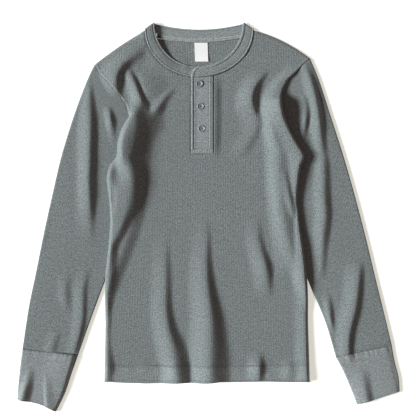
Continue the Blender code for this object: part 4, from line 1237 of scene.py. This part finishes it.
def drilled(bm, places):
    """Cuts a round hole straight down through a bmesh at each place."""
    solids = []
    for k, shape in enumerate([bm, *(drill_bit(place) for place in places)]):
        mesh = bpy.data.meshes.new(f"cut_{k}")
        shape.to_mesh(mesh)
        shape.free()
        solids.append(bpy.data.objects.new(f"cut_{k}", mesh))
        bpy.context.scene.collection.objects.link(solids[-1])
    for cutter in solids[1:]:
        hole = solids[0].modifiers.new("hole", "BOOLEAN")
        hole.object = cutter
    result = bmesh.new()
    shaped = solids[0].evaluated_get(bpy.context.evaluated_depsgraph_get())
    result.from_mesh(shaped.to_mesh())
    shaped.to_mesh_clear()
    for solid in solids:
        mesh = solid.data
        bpy.data.objects.remove(solid)
        bpy.data.meshes.remove(mesh)
    return result


def drill_bit(place):
    bm = bmesh.new()
    radius = settings().button_hole
    bmesh.ops.create_cone(
        bm, cap_ends=True, segments=14, radius1=radius, radius2=radius, depth=0.02,
        matrix=Matrix.Translation(Vector((*place, 0)) * MM),
    )
    return bm


def build_buttons():
    holes = [(0, -HOLE_APART / 2), (0, HOLE_APART / 2)]
    for number in BUTTON_NUMBERS:
        bm = drilled(turned_button(), holes)
        bmesh.ops.translate(bm, vec=Vector(button_seat(number)) * MM, verts=bm.verts)
        finish_piece(f"button_{number}_disc", bm, finish("button_resin"), [f"button_{number}"])
    bm = bmesh.new()
    for number in BUTTON_NUMBERS:
        seat = button_seat(number)
        for offset in THREAD_OFFSETS:
            place = Matrix.Translation(Vector((seat[0] + offset, seat[1], seat[2] + THREAD_HEIGHT)) * MM)
            shape = Matrix.Diagonal((0.4 * MM, 1.5 * MM, 0.42 * MM, 1))
            bmesh.ops.create_uvsphere(bm, u_segments=10, v_segments=8, radius=1, matrix=place @ shape)
    finish_piece("button_threads", bm, finish("button_thread_and_hole_shade"))


# Stitches

# Each pair of rows, as distances from its seam
HEM_STITCHES = (-1.5, 1.5)
ARMHOLE_STITCHES = (1.6, 4.0)
NECK_STITCHES = (2.2, 4.8)
CUFF_STITCHES = (2.0, 4.6)


def stitch_line(bm, line):
    """A row of stitches along a line of places."""
    made = settings()
    pitch, reach = millimetres(made.stitch_pitch), millimetres(made.stitch_length)
    radius = millimetres(made.stitch_radius)
    run = runs(line)
    marks = np.arange(pitch / 2, run[-1], pitch)
    at = [np.stack([np.interp(marks + d, run, line[:, k]) for k in range(3)], axis=1) for d in (-0.5, 0, 0.5)]
    for before, here, after in zip(*at):
        turn = Vector(after - before).to_track_quat("Z", "Y").to_matrix().to_4x4()
        shape = Matrix.Diagonal((radius * MM, radius * MM, reach / 2 * MM, 1))
        place = Matrix.Translation(Vector(here) * MM)
        bmesh.ops.create_uvsphere(bm, u_segments=6, v_segments=4, radius=1, matrix=place @ turn @ shape)


def beside(line, offset):
    """A line moved sideways in plan."""
    way = np.gradient(line[:, :2], axis=0)
    way /= np.linalg.norm(way, axis=1)[:, None]
    return line[:, :2] + offset * np.stack([-way[:, 1], way[:, 0]], axis=1)


def on_front(line, proud=0.1):
    """A line in plan laid on the front's surface."""
    x, y = line[None, :, 0], line[None, :, 1]
    z = FRONT_LEVEL + WALL + front_rise(x, y) + seam_relief(x, y) + proud
    return np.stack([x[0], y[0], z[0]], axis=1)


def build_hem_stitches():
    bm = bmesh.new()
    x = np.linspace(SIDE_LEFT[0].x + 5, SIDE_RIGHT[0].x - 5, 400)
    across = (x - SIDE_LEFT[0].x) / (SIDE_RIGHT[0].x - SIDE_LEFT[0].x)
    sag = hem_sag(across) * (1 - ease(millimetres(settings().hem_depth) / HEM_SAG_FADE))
    for offset in HEM_STITCHES:
        stitch_line(bm, on_front(np.stack([x, hem_line_y() + offset - sag], axis=1)))
    finish_piece("hem_stitches", bm, finish("thread"))


def build_armhole_stitches():
    bm = bmesh.new()
    for side, inward in (("left", 1), ("right", -1)):
        armhole = curve(SIDES[side][1])[4:-6]
        for offset in ARMHOLE_STITCHES:
            stitch_line(bm, on_front(beside(armhole, inward * offset), 0.15))
    finish_piece("armhole_stitches", bm, finish("thread"))


def build_neck_stitches():
    bm = bmesh.new()
    left = math.pi + 0.1, seam_angle(PLACKET_LEFT - 3)
    right = seam_angle(PLACKET_RIGHT + 3), 2 * math.pi - 0.1
    for start, end in (left, right):
        angles = np.linspace(start, end, 120)
        for grown in NECK_STITCHES:
            wider = NECK_SEAM._replace(half_width=NECK_SEAM.half_width + grown, depth=NECK_SEAM.depth + grown)
            stitch_line(bm, on_front(np.stack(ellipse(wider, angles), axis=1), 0.1))
    finish_piece("neck_stitches", bm, finish("thread"))


def build_placket_stitches():
    bm = bmesh.new()
    top = ellipse(NECK_SEAM, seam_angle(0.0))[1] - 3
    low = PLACKET_BOTTOM + BOX_HEIGHT + 0.8
    corner_left, corner_right = PLACKET_LEFT + FOLD_LINE, PLACKET_RIGHT - RIGHT_LINE
    foot = PLACKET_BOTTOM + 1.6
    lines = [
        towards((corner_left, low), (corner_left, top), np.linspace(0, top - low, 60)),
        towards((corner_right, low), (corner_right, top), np.linspace(0, top - low, 60)),
        towards((corner_left, low), (corner_right, low), np.linspace(0, corner_right - corner_left, 20)),
        towards((PLACKET_LEFT + 2, foot), (PLACKET_RIGHT - 2, foot), np.linspace(0, 34, 20)),
    ]
    for line in lines:
        stitch_line(bm, np.stack([line[:, 0], line[:, 1], placket_z(line[:, 0], line[:, 1]) + 0.12], axis=1))
    finish_piece("placket_stitches", bm, finish("thread"))


def build_cuff_stitches():
    bm = bmesh.new()
    for side in ("left", "right"):
        table = SIDES[side][0]
        start, end = np.array(table[-1][:2], float), np.array(table[-1][2:], float)
        up = np.array([start[1] - end[1], end[0] - start[0]]) / np.linalg.norm(end - start)
        up = up * math.copysign(1, up[1])
        for gap in CUFF_STITCHES:
            line = start + (end - start) * np.linspace(0.06, 0.94, 60)[:, None] + up * gap
            across, along = np.linspace(0.06, 0.94, 60), np.full(60, 1 - gap / 480)
            z = SLEEVE_HEIGHT + sleeve_rise(side, line[:, 0], line[:, 1], across, along) + 0.1
            stitch_line(bm, np.stack([line[:, 0], line[:, 1], z], axis=1))
    finish_piece("cuff_stitches", bm, finish("thread"))


# Finishes


def node(tree, kind, inputs=(), **values):
    """A shader node with some of its inputs' values and its own settings."""
    made = tree.nodes.new(kind)
    for key, value in values.items():
        setattr(made, key, value)
    for key, value in dict(inputs).items():
        made.inputs[key].default_value = value
    return made


def math_node(tree, operation, *values):
    """The output of a Math node whose inputs are numbers or other outputs."""
    made = node(tree, "ShaderNodeMath", operation=operation)
    for socket, value in zip(made.inputs, values):
        if isinstance(value, (int, float)):
            socket.default_value = value
        else:
            tree.links.new(value, socket)
    return made.outputs[0]


def noise(tree, vector, scale, detail=2.0, roughness=0.5):
    made = node(tree, "ShaderNodeTexNoise", {"Scale": scale, "Detail": detail, "Roughness": roughness})
    tree.links.new(vector, made.inputs["Vector"])
    return made.outputs[0]


def mixed(tree, a, b, amount, blend="MIX"):
    """A colour mix of two colours or outputs."""
    made = node(tree, "ShaderNodeMix", data_type="RGBA", blend_type=blend)
    for key, value in (("A", a), ("B", b), ("Factor", amount)):
        if isinstance(value, bpy.types.NodeSocket):
            tree.links.new(value, made.inputs[key])
        else:
            made.inputs[key].default_value = value
    return made.outputs["Result"]


def heather_group():
    """Ribs and courses of a knit in its own coordinates, and the flecks of its mixed yarn, with painted
    shade: the grooves between ribs and courses are painted darker, and the cloth's painted light and shade
    lightens or darkens its colour.
    """
    name = "heather_knit"
    if name in bpy.data.node_groups:
        return bpy.data.node_groups[name]
    group = bpy.data.node_groups.new(name, "ShaderNodeTree")
    for label, kind, value in (
        ("Colour", "NodeSocketColor", (0.2, 0.2, 0.2, 1)),
        ("Rib Pitch", "NodeSocketFloat", 0.0029),
        ("Rib", "NodeSocketFloat", 0.3),
        ("Course Pitch", "NodeSocketFloat", 0.0029),
        ("Course", "NodeSocketFloat", 0.2),
        ("Fleck", "NodeSocketFloat", 0.5),
    ):
        group.interface.new_socket(label, in_out="INPUT", socket_type=kind).default_value = value
    for label, kind in (("Colour", "NodeSocketColor"), ("Height", "NodeSocketFloat")):
        group.interface.new_socket(label, in_out="OUTPUT", socket_type=kind)
    given, put = node(group, "NodeGroupInput"), node(group, "NodeGroupOutput")
    uv = node(group, "ShaderNodeUVMap", uv_map="cloth").outputs[0]
    axes = node(group, "ShaderNodeSeparateXYZ")
    group.links.new(uv, axes.inputs[0])
    # painted light and shade carried on the cloth's vertices
    painted_shading = node(group, "ShaderNodeAttribute", attribute_name="painted_shading").outputs["Fac"]
    sway = math_node(group, "SUBTRACT", noise(group, uv, 90.0), 0.5)
    shift = math_node(group, "MULTIPLY", sway, 0.0024)

    def wave(coordinate, pitch, strength):
        turns = math_node(group, "DIVIDE", math_node(group, "ADD", coordinate, shift), given.outputs[pitch])
        swing = math_node(group, "COSINE", math_node(group, "MULTIPLY", turns, 2 * math.pi))
        share = math_node(group, "MULTIPLY_ADD", swing, 0.5, 0.5)
        return math_node(group, "MULTIPLY", share, given.outputs[strength])

    patchy = math_node(group, "MULTIPLY_ADD", noise(group, uv, 45.0), 1.6, 0.1)
    rib = wave(axes.outputs[0], "Rib Pitch", "Rib")
    course = wave(axes.outputs[1], "Course Pitch", "Course")
    weave = math_node(group, "MAXIMUM", rib, course)
    weave = math_node(group, "MULTIPLY", weave, patchy)
    fuzz = noise(group, uv, 1100.0)
    group.links.new(math_node(group, "MULTIPLY_ADD", fuzz, 0.7, weave), put.inputs["Height"])

    stretch = node(group, "ShaderNodeVectorMath", {1: (1.0, 0.7, 1.0)}, operation="MULTIPLY")
    group.links.new(uv, stretch.inputs[0])
    fine = noise(group, stretch.outputs[0], 620.0, 3.0, 0.75)
    coarse = noise(group, uv, 170.0, 2.0, 0.6)
    grain = math_node(group, "MULTIPLY", math_node(group, "SUBTRACT", fine, 0.5), 6.0)
    grain = math_node(group, "MULTIPLY_ADD", math_node(group, "SUBTRACT", coarse, 0.5), 0.9, grain)
    grain = math_node(group, "MULTIPLY", grain, given.outputs["Fleck"])
    # the weave paints shade into the grooves between ribs and courses; the attribute adds painted light and
    # shade
    bright = math_node(group, "ADD", grain, math_node(group, "MULTIPLY_ADD", weave, 0.3, 0.95))
    bright = math_node(group, "MULTIPLY", bright, math_node(group, "MULTIPLY_ADD", painted_shading, 0.16, 1.0))
    bright = math_node(group, "MAXIMUM", bright, 0.2)
    spread = node(group, "ShaderNodeMapRange", {1: 0.3, 2: 0.7})
    group.links.new(noise(group, uv, 230.0, 2.0), spread.inputs[0])
    hue = mixed(group, (1.13, 0.975, 0.95, 1), (0.87, 1.015, 1.03, 1), spread.outputs[0])
    tinted = mixed(group, given.outputs["Colour"], hue, 1.0, "MULTIPLY")
    shaded = node(group, "ShaderNodeVectorMath", operation="SCALE")
    group.links.new(tinted, shaded.inputs[0])
    group.links.new(bright, shaded.inputs["Scale"])
    group.links.new(shaded.outputs[0], put.inputs["Colour"])
    return group


def new_material(name):
    material = bpy.data.materials.new(name)
    material.use_nodes = True
    return material, material.node_tree, material.node_tree.nodes["Principled BSDF"]


MATT_CLOTH = {"Roughness": 0.95, "Specular IOR Level": 0.2, "Sheen Weight": 0.1, "Sheen Roughness": 0.6}


def knit_material(name, shade, values, depth):
    """A matt, slightly fuzzy knit."""
    material, tree, shader = new_material(name)
    knit = node(tree, "ShaderNodeGroup", {}, node_tree=heather_group())
    for key, value in {"Colour": (*shade, 1), "Fleck": settings().fleck, **values}.items():
        knit.inputs[key].default_value = value
    bump = node(tree, "ShaderNodeBump", {"Distance": depth, "Strength": 1})
    tree.links.new(knit.outputs["Height"], bump.inputs["Height"])
    tree.links.new(knit.outputs["Colour"], shader.inputs["Base Color"])
    tree.links.new(bump.outputs[0], shader.inputs["Normal"])
    for key, value in MATT_CLOTH.items():
        shader.inputs[key].default_value = value
    return material


def plain_material(name, shade, roughness, specular, grain=900.0, depth=0.00005):
    """A finish with a fine, even grain: woven tape, satin, resin or thread."""
    material, tree, shader = new_material(name)
    place = node(tree, "ShaderNodeTexCoord").outputs["Object"]
    texture = noise(tree, place, grain)
    dark, light = ((*(min(share * c, 1) for c in shade), 1) for share in (0.86, 1.14))
    tree.links.new(mixed(tree, dark, light, texture), shader.inputs["Base Color"])
    bump = node(tree, "ShaderNodeBump", {"Distance": depth, "Strength": 1})
    tree.links.new(texture, bump.inputs["Height"])
    tree.links.new(bump.outputs[0], shader.inputs["Normal"])
    shader.inputs["Roughness"].default_value = roughness
    shader.inputs["Specular IOR Level"].default_value = specular
    return material


def make_finish(name):
    made = settings()
    # a lighter copy of the rib colour, a painted highlight for the binding
    painted_highlight_rib = [1.2 * c for c in made.rib_colour]
    rib = {"Rib Pitch": made.rib_pitch, "Course Pitch": made.rib_pitch}
    fine = {"Rib Pitch": made.fine_rib_pitch, "Course Pitch": made.fine_rib_pitch, "Rib": 0.3, "Course": 0.1}
    if name == "waffle_knit":
        return knit_material(name, made.knit_colour, {**rib, "Rib": 0.42, "Course": 0.16}, 0.0005)
    if name == "sleeve_knit":
        return knit_material(name, made.knit_colour, {**rib, "Rib": 0.3, "Course": 0.34}, 0.0005)
    if name == "fine_rib":
        return knit_material(name, made.rib_colour, fine, 0.0003)
    # the binding is the rib colour lightened as a painted highlight
    if name == "binding_rib_painted_highlight":
        return knit_material(name, painted_highlight_rib, fine, 0.0002)
    if name == "cuff_rib":
        return knit_material(name, made.cuff_colour, fine, 0.0003)
    if name == "neck_tape":
        return knit_material(name, made.tape_colour, fine, 0.0002)
    if name == "label_satin":
        return plain_material(name, made.label_colour, 0.55, 0.3, 1500.0)
    if name == "button_resin":
        return plain_material(name, made.button_colour, 0.35, 0.5, 500.0, 0.00002)
    # the buttons' thread is a darker copy of the thread colour: the thread itself, with painted shade of the
    # holes it passes through
    if name == "button_thread_and_hole_shade":
        return plain_material(name, [0.3 * c for c in made.thread_colour], 0.85, 0.2)
    return plain_material(name, made.thread_colour, 0.8, 0.2)


def finish(name):
    """The material of a name, made when it is first asked for."""
    return bpy.data.materials.get(name) or make_finish(name)


# Stage


def build_floor(stage):
    material, _, shader = new_material("studio_floor")
    shader.inputs["Base Color"].default_value = (*stage.floor_colour, 1)
    shader.inputs["Roughness"].default_value = 0.9
    shader.inputs["Specular IOR Level"].default_value = 0
    shader.inputs["Emission Color"].default_value = (*stage.floor_glow, 1)
    shader.inputs["Emission Strength"].default_value = 1
    bm = bmesh.new()
    bmesh.ops.create_grid(bm, x_segments=1, y_segments=1, size=30)
    bmesh.ops.translate(bm, vec=(0, 0, -0.0003), verts=bm.verts)
    mesh = bpy.data.meshes.new("floor")
    bm.to_mesh(mesh)
    bm.free()
    mesh.materials.append(material)
    floor = bpy.data.objects.new("floor", mesh)
    bpy.context.scene.collection.objects.link(floor)


def build_light(stage):
    world = bpy.data.worlds.new("studio")
    world.use_nodes = True
    tree = world.node_tree
    seen = node(tree, "ShaderNodeLightPath").outputs["Is Camera Ray"]
    glow = mixed(tree, (*stage.shade_colour, 1), (1.1, 1.1, 1.1, 1), seen)
    tree.links.new(glow, tree.nodes["Background"].inputs["Color"])
    bpy.context.scene.world = world
    light = bpy.data.lights.new("window", "SUN")
    light.angle = stage.light_width
    light.color = stage.light_colour
    light.energy = stage.light_level * math.pi / math.sin(stage.light_height)
    key = bpy.data.objects.new("window", light)
    level = math.cos(stage.light_height)
    turn, height = stage.light_turn, stage.light_height
    way = Vector((level * math.cos(turn), level * math.sin(turn), math.sin(height)))
    key.rotation_mode = "QUATERNION"
    key.rotation_quaternion = way.to_track_quat("Z", "Y")
    bpy.context.scene.collection.objects.link(key)


LENS, SENSOR = 85, 36
CAMERA_CENTRE = (-0.0009, 0.01575)
CLOTH_LEVEL = 0.004


def build_camera(stage):
    camera = bpy.data.cameras.new("camera")
    camera.lens = LENS
    camera.sensor_width = SENSOR
    eye = bpy.data.objects.new("camera", camera)
    eye.location = (*CAMERA_CENTRE, CLOTH_LEVEL + stage.field * LENS / SENSOR)
    bpy.context.scene.collection.objects.link(eye)
    bpy.context.scene.camera = eye


# Operators


class THERMAL_OT_stage(bpy.types.Operator):
    """Add the pale floor, the window light and the camera straight above"""

    bl_idname = "thermal.stage"
    bl_label = "Stage"

    def execute(self, context):
        context.scene.view_settings.view_transform = "Standard"
        stage = context.scene.thermal_stage
        build_floor(stage)
        build_light(stage)
        build_camera(stage)
        return {"FINISHED"}


class THERMAL_OT_body(bpy.types.Operator):
    """Lay the front panel with its folds over the back panel"""

    bl_idname = "thermal.body"
    bl_label = "Body"

    def execute(self, context):
        build_body()
        return {"FINISHED"}


class THERMAL_OT_sleeves(bpy.types.Operator):
    """Add both sleeves, tucked under the body's side edges"""

    bl_idname = "thermal.sleeves"
    bl_label = "Sleeves"

    def execute(self, context):
        for side in SIDES:
            build_sleeve(side)
        return {"FINISHED"}


class THERMAL_OT_cuffs(bpy.types.Operator):
    """Add both ribbed cuffs with their wrinkles"""

    bl_idname = "thermal.cuffs"
    bl_label = "Cuffs"

    def execute(self, context):
        for side in SIDES:
            build_cuff(side)
        return {"FINISHED"}


class THERMAL_OT_neckband(bpy.types.Operator):
    """Add the neckband, turned over at both neck points, and the binding of its edge"""

    bl_idname = "thermal.neckband"
    bl_label = "Neckband"

    def execute(self, context):
        build_neckband()
        build_binding()
        return {"FINISHED"}


class THERMAL_OT_placket(bpy.types.Operator):
    """Add the placket's two strips with their boxed end"""

    bl_idname = "thermal.placket"
    bl_label = "Placket"

    def execute(self, context):
        build_placket()
        return {"FINISHED"}


class THERMAL_OT_neck_trims(bpy.types.Operator):
    """Add the tape along the back neckline and its blank label"""

    bl_idname = "thermal.neck_trims"
    bl_label = "Neck Tape and Label"

    def execute(self, context):
        build_neck_tape()
        build_neck_label()
        return {"FINISHED"}


class THERMAL_OT_buttons(bpy.types.Operator):
    """Add the three dished buttons and the thread that holds them"""

    bl_idname = "thermal.buttons"
    bl_label = "Buttons"

    def execute(self, context):
        build_buttons()
        return {"FINISHED"}


class THERMAL_OT_stitches(bpy.types.Operator):
    """Sew the twin rows round the hem, armholes and neck, and the rows on the placket and cuffs"""

    bl_idname = "thermal.stitches"
    bl_label = "Stitches"

    def execute(self, context):
        build_hem_stitches()
        build_armhole_stitches()
        build_neck_stitches()
        build_placket_stitches()
        build_cuff_stitches()
        return {"FINISHED"}


OPERATORS = (
    THERMAL_OT_stage,
    THERMAL_OT_body,
    THERMAL_OT_sleeves,
    THERMAL_OT_cuffs,
    THERMAL_OT_neckband,
    THERMAL_OT_placket,
    THERMAL_OT_neck_trims,
    THERMAL_OT_buttons,
    THERMAL_OT_stitches,
)


class VIEW3D_PT_thermal_top(bpy.types.Panel):
    """Lists the settings and the pieces of the thermal top"""

    bl_label = "Thermal Top"
    bl_idname = "VIEW3D_PT_thermal_top"
    bl_space_type = "VIEW_3D"
    bl_region_type = "UI"
    bl_category = "Thermal Top"

    def draw(self, context):
        for group in (context.scene.thermal_top, context.scene.thermal_stage):
            column = self.layout.column(align=True)
            for name in group.__annotations__:
                column.prop(group, name)
        column = self.layout.column(align=True)
        for operator in OPERATORS:
            column.operator(operator.bl_idname)


CLASSES = (ThermalTopSettings, ThermalTopStage, *OPERATORS, VIEW3D_PT_thermal_top)


def register():
    for each in CLASSES:
        bpy.utils.register_class(each)
    bpy.types.Scene.thermal_top = PointerProperty(type=ThermalTopSettings)
    bpy.types.Scene.thermal_stage = PointerProperty(type=ThermalTopStage)


def unregister():
    del bpy.types.Scene.thermal_stage
    del bpy.types.Scene.thermal_top
    for each in reversed(CLASSES):
        bpy.utils.unregister_class(each)


def main():
    register()
    bpy.ops.thermal.stage()
    bpy.ops.thermal.body()
    bpy.ops.thermal.sleeves()
    bpy.ops.thermal.cuffs()
    bpy.ops.thermal.neckband()
    bpy.ops.thermal.placket()
    bpy.ops.thermal.neck_trims()
    bpy.ops.thermal.buttons()
    bpy.ops.thermal.stitches()


if __name__ == "__main__":
    main()
